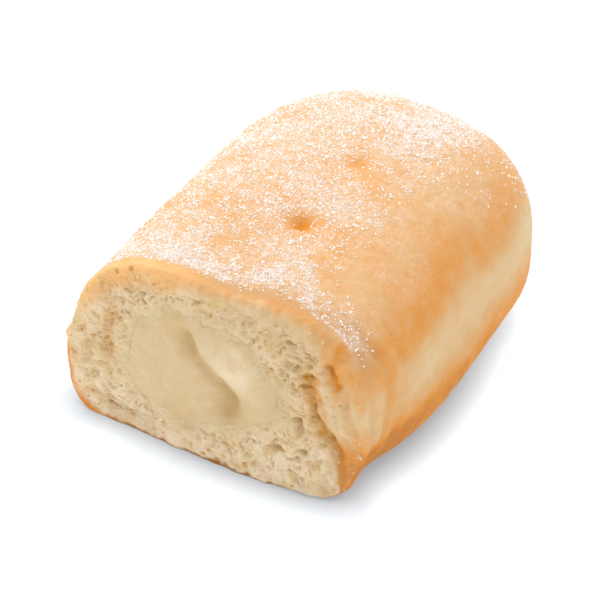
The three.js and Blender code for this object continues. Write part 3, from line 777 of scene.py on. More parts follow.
cut_x, cut_z = np.concatenate([edge_x, face_x]), np.concatenate([edge_z, face_z])
cut_y = np.concatenate([edge_y, face_y])
cut_arc = np.concatenate([edge_arc, face_arc])
cut_flap = np.concatenate([edge_flap, face_flap])
cut_soak = np.concatenate([np.zeros(edge_x.shape), soak])
# The crumb's darkening: painted shade above the foot, in its pores and in deep tears, and the darker, duller
# rim under the crown.
darker, high = CRUMB_PAINTED_SHADE
cut_painted_shade_and_dulling = darker * beyond(cut_z, *high) + np.concatenate([edge_pits, face_pits])
cut_painted_shade_and_dulling += dulled_rim(cut_x, cut_z, cut_arc, CRUMB_DULLING)
darker, deep, left = TEAR_PAINTED_SHADE
cut_painted_shade_and_dulling += darker * np.maximum(cut_depth(cut_x, cut_z) - deep, 0.0) * short_of(cut_x, *left)
crumb_lost, browner, paler = FLAP_SHARES
cut_crumb = crumb_share(cut_x, cut_z, cut_arc) * (1.0 - crumb_lost * cut_flap)
flap_groove_shade = 0.5 - 0.5 * flap_fold(cut_x, cut_z)
streaks = sum(part * flat_noise(cut_x / wide, cut_z / tall, ((1.0, 1.0, seed),))
              for part, wide, tall, seed in FLAP_STREAKS)
stain_x = bent(cut_x, cut_z)
tear_stain_and_shade = sum(strength * bell(distance_to_path(stain_x, cut_z, line), wide)
                for line, strength, wide in TEAR_STAINS_AND_SHADE)
# painted shade browns the flap's grooves; the tears add browned crust and painted shade
cut_brown = browning(cut_x, cut_y, cut_z) + (browner * flap_groove_shade**2 - paler + streaks) * cut_flap
cut_brown += STAIN_AND_SHADE_BROWN * tear_stain_and_shade


def with_pocket(crust, cut, inside=0.0):
    """An attribute's values on the crust, and on the cut with the one value inside the pocket."""
    return [crust, np.concatenate([cut, np.full(pocket_y.shape, inside)])]


dough = closed_surface(
    "dough_baked", [crust_points, fine_points],
    skin(np.array(LENGTH), np.array(0.0), np.array(0.0)),
    cream_point(CUT_Y + CREAM_LENGTH, 0.0, np.array(0.0)),
    {
        "brown": with_pocket(browning(crust_x, crust_y, crust_z), cut_brown, 1.0),
        "crumb": with_pocket(crumb_share(crust_x, crust_z, crust_arc), cut_crumb, 1.0),
        # pit darkens the crumb: painted shade in its pores, deep tears and upper part, and its duller rim
        "pit": with_pocket(bare, cut_painted_shade_and_dulling, 1.0),
        "soaked": with_pocket(bare, cut_soak, 1.0),
        # torn: the browned crust in the tears, with painted shade in their creases
        "torn": with_pocket(bare, tear_stain_and_shade),
        "dusted": with_pocket(sugaring(crust_x, crust_y, crust_z, DUST_THIN),
                              sugaring(cut_x, cut_y, cut_z, DUST_THIN)),
        # golden: the golden edge at the upper left, with painted light shining through it
        "golden": with_pocket(golden_and_painted_light(crust_x, crust_z, crust_arc),
                              golden_and_painted_light(cut_x, cut_z, cut_arc)),
        "dulled_rim": with_pocket(dulled_rim(crust_x, crust_z, crust_arc, CRUST_DULLING),
                              dulled_rim(cut_x, cut_z, cut_arc, CRUST_DULLING)),
        "scorched_and_shadowed": with_pocket(scorched_and_shadowed(crust_x, crust_y, crust_z), scorched_and_shadowed(cut_x, cut_y, cut_z)),
    })


def linear(colour):
    """An sRGB colour of 0 to 255 as the linear colour, with alpha, that a socket takes."""
    values = [(c / 255.0) for c in colour]
    return (*[v / 12.92 if v <= 0.04045 else ((v + 0.055) / 1.055) ** 2.4 for v in values], 1.0)


def mottle_group():
    """Node group: noise in the piece's own coordinates, stretched so that Low comes out as 0
    and High as 1."""
    group = bpy.data.node_groups.new("mottle", "ShaderNodeTree")
    for name, value in (("Scale", 500.0), ("Low", 0.4), ("High", 0.6)):
        socket = group.interface.new_socket(name=name, in_out="INPUT", socket_type="NodeSocketFloat")
        socket.default_value = value
    group.interface.new_socket(name="Mask", in_out="OUTPUT", socket_type="NodeSocketFloat")
    nodes, links = group.nodes, group.links
    entry = nodes.new("NodeGroupInput")
    leave = nodes.new("NodeGroupOutput")
    place = nodes.new("ShaderNodeTexCoord")
    noise = nodes.new("ShaderNodeTexNoise")
    noise.inputs["Detail"].default_value = 3.0
    noise.inputs["Roughness"].default_value = 0.6
    stretch = nodes.new("ShaderNodeMapRange")
    links.new(place.outputs["Object"], noise.inputs["Vector"])
    links.new(entry.outputs["Scale"], noise.inputs["Scale"])
    links.new(noise.outputs["Fac"], stretch.inputs["Value"])
    links.new(entry.outputs["Low"], stretch.inputs["From Min"])
    links.new(entry.outputs["High"], stretch.inputs["From Max"])
    links.new(stretch.outputs["Result"], leave.inputs["Mask"])
    return group


MOTTLE = mottle_group()


class Finish:
    """One material under construction: a Principled BSDF and short calls for its nodes."""

    def __init__(self, name):
        self.material = bpy.data.materials.new(name)
        self.material.use_nodes = True
        self.nodes = self.material.node_tree.nodes
        self.links = self.material.node_tree.links
        self.shader = self.nodes["Principled BSDF"]

    def set(self, **values):
        """Sets sockets of the shader: the name has underscores where the socket has spaces."""
        for name, value in values.items():
            self.shader.inputs[name.replace("_", " ")].default_value = value

    def feed(self, out, name):
        """Joins a value to that socket of the shader."""
        self.links.new(out, self.shader.inputs[name])

    def fill(self, sockets, values):
        """Puts a number, an sRGB colour or another node's output into each socket."""
        for socket, value in zip(sockets, values):
            if isinstance(value, (int, float)):
                socket.default_value = value
            elif isinstance(value, tuple):
                socket.default_value = linear(value)
            else:
                self.links.new(value, socket)

    def attribute(self, name):
        node = self.nodes.new("ShaderNodeAttribute")
        node.attribute_name = name
        return node.outputs["Fac"]

    def mottle(self, scale, low, high):
        node = self.nodes.new("ShaderNodeGroup")
        node.node_tree = MOTTLE
        self.fill([node.inputs[name] for name in ("Scale", "Low", "High")], (scale, low, high))
        return node.outputs["Mask"]

    def maths(self, operation, a, b):
        node = self.nodes.new("ShaderNodeMath")
        node.operation = operation
        self.fill(node.inputs, (a, b))
        return node.outputs[0]

    def stretch(self, value, low, high, to_low=0.0, to_high=1.0):
        node = self.nodes.new("ShaderNodeMapRange")
        names = ("Value", "From Min", "From Max", "To Min", "To Max")
        self.fill([node.inputs[name] for name in names], (value, low, high, to_low, to_high))
        return node.outputs["Result"]

    def ramp(self, value, *stops):
        """A colour for a value from 0 to 1. Each stop is (value, sRGB colour of 0 to 255)."""
        node = self.nodes.new("ShaderNodeValToRGB")
        elements = node.color_ramp.elements
        while len(elements) < len(stops):
            elements.new(0.5)
        for element, (place, colour) in zip(elements, stops):
            element.position = place
            element.color = linear(colour)
        self.links.new(value, node.inputs["Fac"])
        return node.outputs["Color"]

    def blend(self, factor, a, b):
        node = self.nodes.new("ShaderNodeMix")
        node.data_type = "RGBA"
        colour_sockets = [socket for socket in node.inputs if socket.type == "RGBA"]
        self.fill([node.inputs[0]] + colour_sockets, (factor, a, b))
        return next(socket for socket in node.outputs if socket.type == "RGBA")

    def patches(self, scale, low, high, least, most):
        """The mottle as a value between the least and the most."""
        return self.stretch(self.mottle(scale, low, high), 0.0, 1.0, least, most)

    def tint(self, colour, tone, mask, strength):
        """The colour, turned to the tone by the mask times the strength."""
        return self.blend(self.maths("MULTIPLY", mask, strength), colour, tone)

    def bump(self, height, distance):
        node = self.nodes.new("ShaderNodeBump")
        node.inputs["Distance"].default_value = distance
        self.links.new(height, node.inputs["Height"])
        self.feed(node.outputs["Normal"], "Normal")


def dough_finish():
    """Crust from pale to golden to brown, with a thin coat of sugar dust, and porous crumb, with painted
    shade in its pores, tears, grooves and at the foot of the cut, and painted light in the golden edge.
    """
    finish = Finish("baked_dough")
    finish.set(Subsurface_Weight=0.25, Subsurface_Radius=(1.0, 0.6, 0.3), Subsurface_Scale=0.002,
               Specular_IOR_Level=0.2)
    blotches = finish.patches(380.0, 0.3, 0.7, -0.07, 0.07)
    brown = finish.maths("ADD", finish.attribute("brown"), blotches)
    crust = finish.ramp(finish.maths("MULTIPLY", brown, 0.8),
                        (0.05, (214, 184, 138)), (0.25, (213, 171, 118)), (0.4, (214, 160, 100)),
                        (0.55, (216, 149, 72)), (0.72, (214, 136, 44)), (0.95, (194, 119, 30)))
    patchy = finish.patches(420.0, 0.35, 0.65, 0.45, 0.85)
    # the golden edge, lightened with painted light shining through it
    crust = finish.tint(crust, (236, 188, 124), finish.attribute("golden"), patchy)
    crust = finish.blend(finish.attribute("dulled_rim"), crust, (195, 148, 96))
    # the sole's browned crust, darkened further by painted contact shadow at the foot of the cut
    crust = finish.blend(finish.attribute("scorched_and_shadowed"), crust, (116, 82, 44))
    grains = finish.maths("ADD", finish.patches(1300.0, 0.4, 0.62, 0.0, 0.4),
                          finish.patches(520.0, 0.42, 0.62, 0.05, 0.35))
    speckle = finish.maths("MULTIPLY", grains, finish.attribute("dusted"))
    crust = finish.tint(crust, (248, 228, 214), speckle, 0.9)
    wall = finish.blend(finish.mottle(150.0, 0.38, 0.62), (229, 205, 169), (221, 191, 148))
    # darker and deeper golden with pit: painted shade in the pores, deep tears and upper crumb, and the
    # duller rim
    crumb = finish.ramp(finish.attribute("pit"), (0.0, (242, 224, 194)), (0.3, (222, 194, 150)),
                        (0.65, (202, 165, 112)), (1.0, (180, 136, 78)))
    crumb = finish.blend(0.6, wall, crumb)
    for tone, mask, strength in (
            ((229, 196, 166), finish.mottle(330.0, 0.45, 0.65), 0.55),
            ((218, 187, 124), finish.mottle(230.0, 0.5, 0.66), 0.5),
            ((217, 192, 149), finish.attribute("soaked"), 0.7),
            # the tears: browned crust, with painted shade in the crease
            ((205, 150, 76), finish.attribute("torn"), 0.9)):
        crumb = finish.tint(crumb, tone, mask, strength)
    is_crumb = finish.attribute("crumb")
    finish.feed(finish.blend(is_crumb, crust, crumb), "Base Color")
    finish.feed(finish.stretch(is_crumb, 0.0, 1.0, 0.58, 0.88), "Roughness")
    grain = finish.maths("ADD", finish.maths("MULTIPLY", finish.mottle(1900.0, 0.3, 0.7), 0.45),
                         finish.maths("MULTIPLY", speckle, 1.2))
    fluff = finish.maths("MULTIPLY", is_crumb, finish.mottle(1700.0, 0.3, 0.7))
    finish.bump(finish.maths("ADD", grain, fluff), 0.0002)
    return finish.material


dough.data.materials.append(dough_finish())
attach(dough, "root")
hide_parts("dough")


# Cream
# Set custard cream, piped into the bun before it was cut. It fills a long pocket, and at the
# cut it swells out in two lobes with a fold between them and smears onto the crumb round it.

CREAM_SUNK = 0.4  # how far its outline lies behind the plane of the cut
CREAM_PROUD = 0.9
SMEAR_SHARE = 1.17  # the smear ends at this share of the outline, under the crumb's surface
SMEAR_START = 0.97  # and starts at this one
SMEAR_TUCK = 1.3  # how far its edge dips under the crumb, and how that grows: up to what, and its power
SMEAR_DIP = (1.6, 1.4)
SMEAR_SUNK = 0.1
ON_CRUMB = (0.8, 0.25)  # the share of the outline where it lies on the crumb, and its run
THIN_FROM = (0.8, 0.3)  # and where it is smeared thin
FOLD_ENDS = ((-6.2, 26.2), (2.6, 12.6))  # (x, z) of the fold's ends, and of what bends it
FOLD_PULLS = ((-3.6, 18.6), (6.8, 19.6))
FOLD_CREASE = (0.5, 1.0)  # depth and width of its sharp crease, and of the hollow round it
FOLD_HOLLOW = (1.0, 2.4)
FOLD_WANDER = ((0.2, 3.0, 73),)  # noise that widens the crease
FOLD_PAINTED_SHADE = (0.5, 2.2)  # the fold's painted shade starts below this relief, and its run
FOLD_DEEPEST = ((-6.4, 24.0, 0.5, 2.0), (2.6, 15.4, 0.7, 2.6))  # x, z, how much deeper, how wide
CREAM_LOBES = ((4.0, 24.0, 1.1, 6.9, 5.5), (-9.0, 16.0, 0.5, 9.8, 7.0))
LOBE_PAINTED_HIGHLIGHT = (4.6, 24.2, 6.4, 6.0)  # the painted highlight on the right lobe: x, z, half width and half height
CREAM_UNEVEN = ((0.3, 4.6, 71), (0.15, 1.8, 72))
KNIFE_MARKS = ((0.07, 0.9, 74),)
KNIFE_DRAG = (0.35, 0.1, 0.3)  # they are drawn out along x, and lean with z and with x
CREAM_COLUMNS = 360
CREAM_FACE_ROWS = 110
CREAM_END_ROWS = 8
CREAM_BODY_ROWS = 10
BRIM_ROWS = 6
FACE_CROWDING = 1.1
CREAM_SLACK = 0.01  # the cream is narrower than its pocket by this share, and this much shorter
CREAM_GAP = 1.0
BRIM_BACK = 6.0  # how far behind the cut the cream starts to widen to its brim
BRIM_TUCK = (2.2, 0.85)  # how much deeper the brim starts than it ends, and what share it comes up


def bent_path(ends, pulls, count):
    """Points along a cubic curve from one end to the other, drawn towards two pulls."""
    t = np.linspace(0.0, 1.0, count)[:, None]
    a, d = np.array(ends)
    b, c = np.array(pulls)
    return a * (1 - t) ** 3 + 3 * b * t * (1 - t) ** 2 + 3 * c * t * t * (1 - t) + d * t**3


FOLD_PATH = bent_path(FOLD_ENDS, FOLD_PULLS, 20)


def cream_relief(x, z):
    """Relief of the cream's front: a broad bell for each lobe, less a sharp and a broad bell
    along the fold and a deeper one at each end, and soft noise for the marks of the knife."""
    distance = distance_to_path(x, z, FOLD_PATH)
    out = -FOLD_CREASE[0] * bell(distance, FOLD_CREASE[1] * (1.0 + flat_noise(x, z, FOLD_WANDER)))
    out = out - FOLD_HOLLOW[0] * bell(distance, FOLD_HOLLOW[1])
    for deep_x, deep_z, deeper, wide in FOLD_DEEPEST:
        out = out - deeper * bell(np.hypot(x - deep_x, z - deep_z), wide)
    for lobe_x, lobe_z, high, wide, tall in CREAM_LOBES:
        out = out + high * bell(np.hypot((x - lobe_x) / wide, (z - lobe_z) / tall), 1.0)
    along, with_z, with_x = KNIFE_DRAG
    out = out + flat_noise(along * x + with_z * z, z - with_x * x, KNIFE_MARKS)
    return out + flat_noise(x, z, CREAM_UNEVEN)


def cream_front(x, z, share):
    """Depth of the cream's front behind the plane of the cut. Inside its outline it bulges
    out, and outside it lies on the crumb, thins out raggedly and dips under it."""
    within = np.minimum(share, 1.0)
    bulge = CREAM_PROUD * (1.0 - within**3)
    raised = cream_relief(x, z) * (1.0 - within**6)
    on_crumb = beyond(share, *ON_CRUMB)
    base = cut_turn(x) + CREAM_SUNK * (1.0 - on_crumb) + (cut_depth(x, z) + SMEAR_SUNK) * on_crumb
    past = (share - flat_noise(x, z, SMEARING) - SMEAR_START) / (SMEAR_SHARE - SMEAR_START)
    dip = SMEAR_TUCK * np.clip(past, 0.0, SMEAR_DIP[0]) ** SMEAR_DIP[1]
    return base - bulge - raised + dip, raised


cream_angles = np.linspace(0.0, 2.0 * np.pi, CREAM_COLUMNS, endpoint=False)[None]
body_share = MOUTH_SHARE - CREAM_SLACK
cream_turn = (np.pi / 2) * (np.arange(CREAM_END_ROWS - 1, 0, -1)[:, None] / CREAM_END_ROWS)
straight_end = CUT_Y + CREAM_LENGTH - CREAM_END_RUN - CREAM_GAP
cream_end = cream_point(straight_end + CREAM_END_RUN * np.sin(cream_turn),
                        body_share * np.cos(cream_turn), cream_angles)
body_back = np.linspace(straight_end, CUT_Y + BRIM_BACK, CREAM_BODY_ROWS)[:, None]
cream_body = cream_point(body_back, body_share, cream_angles)

brim_step = np.linspace(0.0, 1.0, BRIM_ROWS + 1)[1:, None]
cream_brim = cream_point(CUT_Y, body_share + (SMEAR_SHARE - body_share) * brim_step, cream_angles)
brim_x, brim_z = cream_brim[..., 0], cream_brim[..., 2]
brim_depth = SMEAR_TUCK * 2.0 + BRIM_TUCK[0] * (1.0 - BRIM_TUCK[1] * brim_step)
cream_brim[..., 1] = CUT_Y + cut_turn(brim_x) + cut_depth(brim_x, brim_z) + brim_depth

inward_share = (np.arange(CREAM_FACE_ROWS)[:, None] / CREAM_FACE_ROWS) ** FACE_CROWDING
face_share = SMEAR_SHARE * (1.0 - inward_share)
cream_face = cream_point(CUT_Y, face_share, cream_angles)
front_x, front_z = cream_face[..., 0], cream_face[..., 2]
front, raised = cream_front(front_x, front_z, face_share)
cream_face[..., 1] = CUT_Y + front
cream_rows = np.concatenate([cream_end, cream_body, cream_brim, cream_face])

fold_painted_shade, lobe_painted_highlight, is_thin = np.zeros((3, *cream_rows.shape[:2]))
fold_painted_shade[-len(cream_face):] = short_of(raised, *FOLD_PAINTED_SHADE)
highlight_x, highlight_z, wide, tall = LOBE_PAINTED_HIGHLIGHT
lobe_painted_highlight[-len(cream_face):] = bell(np.hypot((front_x - highlight_x) / wide, (front_z - highlight_z) / tall), 1.0)
is_thin[-len(cream_face):] = beyond(face_share - flat_noise(front_x, front_z, SMEARING), *THIN_FROM)
# The cream's marks: painted shade in the fold, a painted highlight on the right lobe, and where it is
# smeared thin.
cream = closed_surface(
    "cream_custard", [cream_rows], cream_point(straight_end + CREAM_END_RUN, 0.0, np.array(0.0)),
    cream_face[-1].mean(axis=0), {"fold": [fold_painted_shade], "painted_highlight": [lobe_painted_highlight], "thin": [is_thin]})


def cream_finish():
    """Pale yellow cream, darker in the fold with painted shade, lighter on the right lobe with a painted
    highlight, deeper where it is smeared thin on the crumb, moist and slightly see-through."""
    finish = Finish("custard_cream")
    finish.set(Subsurface_Weight=0.3, Subsurface_Radius=(1.0, 0.85, 0.65), Subsurface_Scale=0.002,
               Specular_IOR_Level=0.4)
    # a painted highlight lightens the right lobe
    colour = finish.blend(finish.attribute("painted_highlight"), (208, 180, 138), (226, 207, 173))
    smeared = finish.blend(finish.mottle(700.0, 0.35, 0.65), (214, 188, 146), (204, 176, 130))
    for tone, mask, strength in (
            ((204, 175, 118), finish.mottle(260.0, 0.46, 0.62), 0.5),
            ((218, 188, 154), finish.mottle(390.0, 0.48, 0.64), 0.5),
            # painted shade in the fold
            ((186, 147, 82), finish.attribute("fold"), 0.8),
            ((200, 174, 132), finish.mottle(300.0, 0.35, 0.7), 0.35),
            (smeared, finish.attribute("thin"), 0.85)):
        colour = finish.tint(colour, tone, mask, strength)
    finish.feed(colour, "Base Color")
    finish.feed(finish.patches(700.0, 0.3, 0.7, 0.4, 0.58), "Roughness")
    finish.bump(finish.mottle(900.0, 0.3, 0.7), 0.00012)
    return finish.material


cream.data.materials.append(cream_finish())
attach(cream, "root")
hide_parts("cream")


# Sugar
# Granulated sugar, thrown over the bun while the crust was still greasy enough to hold it.
# Each crystal is a small white block with sharp edges, a third of it sunk in the crust, and
# the coarse, fine and dusty ones lie mixed.

BLOCK_CORNERS = np.array([[x, y, z] for x in (-1, 1) for y in (-1, 1) for z in (-1, 1)]) / 2.0
BLOCK_FACES = np.array([[0, 1, 3, 2], [4, 6, 7, 5], [0, 4, 5, 1], [2, 3, 7, 6], [0, 2, 6, 4], [1, 5, 7, 3]])
SHARD_CORNERS = np.array([[1, 0, 0], [-1, 0, 0], [0, 1, 0], [0, -1, 0], [0, 0, 1], [0, 0, -1]]) / 1.7
SHARD_FACES = np.array([[0, 2, 4], [2, 1, 4], [1, 3, 4], [3, 0, 4],
                        [2, 0, 5], [1, 2, 5], [3, 1, 5], [0, 3, 5]])
SUGAR_KINDS = (
    # name, the corners and faces of one crystal, how many, smallest and largest size, seed
    ("sugar_coarse", BLOCK_CORNERS, BLOCK_FACES, 500, 0.4, 0.66, 101),
    ("sugar_fine", BLOCK_CORNERS, BLOCK_FACES, 11000, 0.24, 0.42, 102),
    ("sugar_dust", SHARD_CORNERS, SHARD_FACES, 15000, 0.14, 0.27, 103),
    ("sugar_powder", SHARD_CORNERS, SHARD_FACES, 12000, 0.1, 0.17, 104),
)
SMALL_SUGAR = 1.6  # the draw of a size is raised to this, so that more are small
SUGAR_SIDES = ((0.7, 1.0), (0.5, 0.9))  # a crystal's second and third side, as shares of the first
SUGAR_UNEVEN = (-0.18, 0.1)
SUGAR_RISE = 0.14  # how far the middle lies above the crust, as a share of the size
CLEAR_FOOT = 0.8  # nothing clings to the bun below this height
OFF_TABLE = 0.05  # and nothing hangs lower than this


def scattered_spots(points, density, count, draw):
    """Random spots on a grid of points, as many as asked: a quad is drawn with a chance of its
    area times the density there, and the spot lies anywhere in it. Gives points and normals."""
    right = np.roll(points, -1, axis=1)
    a, b, c, d = points[:-1], right[:-1], points[1:], right[1:]
    normal = np.cross(c - b, d - a)
    size = np.linalg.norm(normal, axis=-1)
    chance = np.cumsum(size * density[:-1] * (a[..., 2] > CLEAR_FOOT))
    cell = np.searchsorted(chance / chance[-1], draw.random(count))
    a, b, c, d, normal = (corner.reshape(-1, 3)[cell] for corner in (a, b, c, d, normal))
    u, v = draw.random((2, count, 1))
    spot = (1 - u) * ((1 - v) * a + v * b) + u * ((1 - v) * c + v * d)
    return spot, normal / np.linalg.norm(normal, axis=-1, keepdims=True)


def random_turns(count, draw):
    """Random rotation matrices, from random unit quaternions."""
    q = draw.normal(size=(count, 4))
    w, x, y, z = (q / np.linalg.norm(q, axis=-1, keepdims=True)).T
    rows = [[1 - 2 * (y * y + z * z), 2 * (x * y - w * z), 2 * (x * z + w * y)],
            [2 * (x * y + w * z), 1 - 2 * (x * x + z * z), 2 * (y * z - w * x)],
            [2 * (x * z - w * y), 2 * (y * z + w * x), 1 - 2 * (x * x + y * y)]]
    return np.array(rows).transpose(2, 0, 1)


def joined_bits(name, corners, faces):
    """One mesh in metres of many bits, from each bit's corners in mm and one bit's faces."""
    count, each = corners.shape[:2]
    all_faces = (faces[None] + each * np.arange(count)[:, None, None]).reshape(-1, faces.shape[1])
    mesh = bpy.data.meshes.new(name)
    mesh.from_pydata((corners.reshape(-1, 3) * MM).tolist(), [], all_faces.tolist())
    piece = bpy.data.objects.new(name, mesh)
    bpy.context.scene.collection.objects.link(piece)
    return piece


def placed_bits(shape, spots, normals, size, sides, uneven, rise, draw):
    """Corners of bits on their spots: each corner is moved in or out at random, each bit is
    turned at random, and its middle lies above its spot by that share of its size."""
    corners = shape[None] * (1.0 + draw.uniform(*uneven, (len(spots), len(shape), 1)))
    corners = np.einsum("nij,nkj->nki", random_turns(len(spots), draw), corners * sides[:, None])
    corners = corners + (spots + normals * size[:, None] * rise)[:, None]
    corners[..., 2] = np.maximum(corners[..., 2], OFF_TABLE)
    return corners


def sugar_crystals(name, shape, faces, count, smallest, largest, seed):
    """One joined mesh of crystals: each has its own three sides and slightly uneven corners,
    is turned at random and is set on its spot with a third of it in the crust."""
    draw = np.random.default_rng(seed)
    spots, normals = scattered_spots(crust_points, crust_sugar, count, draw)
    size = smallest + (largest - smallest) * draw.random(count) ** SMALL_SUGAR
    others = [draw.uniform(*shares, count) for shares in SUGAR_SIDES]
    sides = size[:, None] * np.stack([np.ones(count), *others], axis=-1)
    corners = placed_bits(shape, spots, normals, size, sides, SUGAR_UNEVEN, SUGAR_RISE, draw)
    return joined_bits(name, corners, faces)


def sugar_finish():
    """White crystals, a little warm, that shine softly and let light into their edges."""
    finish = Finish("sugar")
    finish.set(Subsurface_Weight=0.5, Subsurface_Radius=(1.0, 0.95, 0.9), Subsurface_Scale=0.0006,
               Specular_IOR_Level=0.5, IOR=1.5)
    colour = finish.blend(finish.mottle(900.0, 0.3, 0.7), (253, 248, 242), (250, 236, 224))
    finish.feed(colour, "Base Color")
    finish.feed(finish.patches(2500.0, 0.3, 0.7, 0.2, 0.45), "Roughness")
    return finish.material


SUGAR = sugar_finish()
for name, shape, faces, count, smallest, largest, seed in SUGAR_KINDS:
    crystals = sugar_crystals(name, shape, faces, count, smallest, largest, seed)
    crystals.data.materials.append(SUGAR)
    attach(crystals, "root")


# Crumbs
# Bits of crumb and crust that the knife tore off. They cling to the rim of the cut, most at
# the foot and on the left.

CRUMB_COUNT = 150
CRUMB_SIZES = (0.35, 1.5)
SMALL_CRUMBS = 2.2  # the draw of a size is raised to this, so that more are small
CRUMB_SIDES = (0.6, 1.1)
CRUMB_UNEVEN = (-0.28, 0.2)
CRUMB_RISE = 0.2
CRUMB_SEED = 111
ANYWHERE = 0.06  # how thickly they lie away from the rim, beside 1 on it
RIM_BAND = (3.0, 1.8)  # how far round the edge that is, and its width
FOOT_CRUMBS = (2.0, (12.0, 8.0))  # how much thicker at the foot, and from what height down
LEFT_CRUMBS = (1.5, (18.0, 8.0))
SOAKED_LESS = 0.9  # how much thinner they lie where the cream soaked the crumb
NONE_BEFORE = 1.2  # and none lies before this far round the edge
TOASTED = 2.5  # the draw of how brown a crumb is, raised to this


def loose_crumbs():
    """Joined lumps: balls of a few dozen faces, each with its own sides and its corners moved
    in and out at random, pressed a little into the spot where they cling."""
    draw = np.random.default_rng(CRUMB_SEED)
    ball = bmesh.new()
    bmesh.ops.create_icosphere(ball, subdivisions=2, radius=0.5)
    shape = np.array([vert.co for vert in ball.verts])
    faces = np.array([[vert.index for vert in face.verts] for face in ball.faces])
    ball.free()
    middle, wide = RIM_BAND
    at_foot, low = FOOT_CRUMBS
    at_left, left = LEFT_CRUMBS
    thicker = 1.0 + at_foot * short_of(cut_z, *low) + at_left * beyond(-cut_x, *left)
    density = ANYWHERE + bell(cut_arc - middle, wide) * thicker
    density = density * (1.0 - SOAKED_LESS * cut_soak) * (cut_arc > NONE_BEFORE)
    cut_points = np.stack([cut_x, cut_y, cut_z], axis=-1)
    spots, normals = scattered_spots(cut_points, density, CRUMB_COUNT, draw)
    smallest, largest = CRUMB_SIZES
    size = smallest + (largest - smallest) * draw.random(CRUMB_COUNT) ** SMALL_CRUMBS
    sides = size[:, None] * draw.uniform(*CRUMB_SIDES, (CRUMB_COUNT, 3))
    corners = placed_bits(shape, spots, normals, size, sides, CRUMB_UNEVEN, CRUMB_RISE, draw)
    piece = joined_bits("crumbs_loose", corners, faces)
    toast = np.repeat(draw.random(CRUMB_COUNT) ** TOASTED, len(shape)).astype(np.float32)
    piece.data.attributes.new("toast", "FLOAT", "POINT").data.foreach_set("value", toast)
    piece.data.shade_smooth()
    return piece


def crumb_finish():
    """Pale crumb, and a few bits of browned crust."""
    finish = Finish("loose_crumb")
    finish.set(Subsurface_Weight=0.1, Subsurface_Radius=(1.0, 0.9, 0.8), Subsurface_Scale=0.0003,
               Specular_IOR_Level=0.25, Roughness=0.85)
    colour = finish.ramp(finish.attribute("toast"), (0.0, (238, 208, 162)), (0.4, (224, 182, 124)),
                         (0.8, (210, 152, 90)))
    finish.feed(finish.tint(colour, (214, 170, 112), finish.mottle(1600.0, 0.3, 0.7), 0.4), "Base Color")
    finish.bump(finish.mottle(2600.0, 0.3, 0.7), 0.00015)
    return finish.material


crumbs = loose_crumbs()
crumbs.data.materials.append(crumb_finish())
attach(crumbs, "root")


# Table
# A plain white studio table, which isn't part of the bun. It glows with painted light, faintly towards the
# bun and strongly towards the camera, and that glow fades into a painted contact shadow, a narrow rim round
# what stands on it.

TABLE_HALF = 6.0  # metres
CONTACT_SHADOW_WIDTH = 0.0058  # metres that the painted contact shadow round the bun is wide
SHADOW_OPEN = (0.25, 1.0)  # how open the table is where the painted shadow is darkest, and where it ends
PAINTED_GLOW = (0.33, 0.9)  # and how strongly the painted glow shines there
table_corners = [(x * TABLE_HALF, y * TABLE_HALF, 0.0) for x, y in ((-1, -1), (1, -1), (1, 1), (-1, 1))]
table_mesh = bpy.data.meshes.new("table")
table_mesh.from_pydata(table_corners, [], [(0, 1, 2, 3)])
table = bpy.data.objects.new("table", table_mesh)
bpy.context.scene.collection.objects.link(table)
table_finish = Finish("pale_table")
table_finish.set(Roughness=0.9, Specular_IOR_Level=0.1)
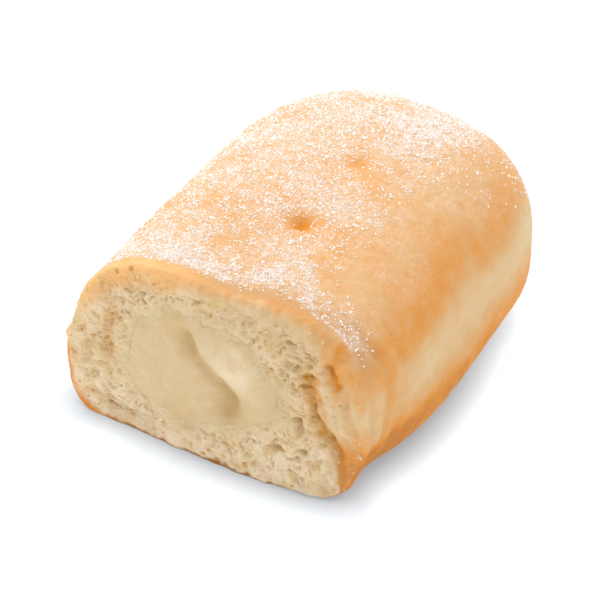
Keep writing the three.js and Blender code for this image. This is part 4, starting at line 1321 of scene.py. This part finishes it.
# Camera rays see a darker, bluish table whose painted glow fades by ambient occlusion into a painted contact
# shadow; other rays see a pale table with a faint even glow.
seen = table_finish.nodes.new("ShaderNodeLightPath").outputs["Is Camera Ray"]
near = table_finish.nodes.new("ShaderNodeAmbientOcclusion")
near.inputs["Distance"].default_value = CONTACT_SHADOW_WIDTH
below = table_finish.stretch(near.outputs["AO"], *SHADOW_OPEN, *PAINTED_GLOW)
table_finish.feed(table_finish.blend(seen, (235, 243, 248), (100, 108, 118)), "Base Color")
table_finish.feed(table_finish.blend(seen, (255, 255, 255), (253, 254, 255)), "Emission Color")
table_finish.feed(table_finish.stretch(seen, 0.0, 1.0, 0.2, below), "Emission Strength")
table.data.materials.append(table_finish.material)


# Light
# Even studio light from white walls all round, and one large soft lamp above and behind on
# the left, which leaves a faint shadow on the right.

WALL_LIGHT = 1.02
world = bpy.data.worlds.new("studio")
bpy.context.scene.world = world
world.use_nodes = True
world.node_tree.nodes["Background"].inputs["Color"].default_value = (1.0, 1.0, 1.0, 1.0)
world.node_tree.nodes["Background"].inputs["Strength"].default_value = WALL_LIGHT


def soft_lamp(name, place, aim, size, watts):
    """A square area lamp at that place, pointed at aim."""
    lamp = bpy.data.lights.new(name, "AREA")
    lamp.size = size
    lamp.energy = watts
    holder = bpy.data.objects.new(name, lamp)
    holder.location = place
    holder.rotation_mode = "QUATERNION"
    holder.rotation_quaternion = (Vector(aim) - Vector(place)).to_track_quat("-Z", "Y")
    bpy.context.scene.collection.objects.link(holder)


soft_lamp("key", place=(-0.55, 0.4, 0.95), aim=(0.0, 0.0, 0.015), size=0.8, watts=8.0)
bpy.context.scene.view_settings.view_transform = "Standard"
bpy.context.scene.view_settings.look = "None"


# Camera
# At the photograph's angle, aimed at the bun, with a long lens.

CAMERA_PLACE = Vector((0.5067, -1.0344, 0.8316))
CAMERA_AIM = Vector((-0.0014, -0.0066, 0.016))
CAMERA_ROLL = math.radians(4.56)
PICTURE_WIDTH = 0.1096  # metres that the picture is wide at the bun
camera_data = bpy.data.cameras.new("camera")
camera = bpy.data.objects.new("camera", camera_data)
bpy.context.scene.collection.objects.link(camera)
line = CAMERA_AIM - CAMERA_PLACE
turn = line.to_track_quat("-Z", "Y").to_matrix() @ Matrix.Rotation(CAMERA_ROLL, 3, "Z")
camera.location = CAMERA_PLACE
camera.rotation_mode = "QUATERNION"
camera.rotation_quaternion = turn.to_quaternion()
camera_data.sensor_width = 36.0
camera_data.lens = camera_data.sensor_width * line.length / PICTURE_WIDTH
bpy.context.scene.camera = camera
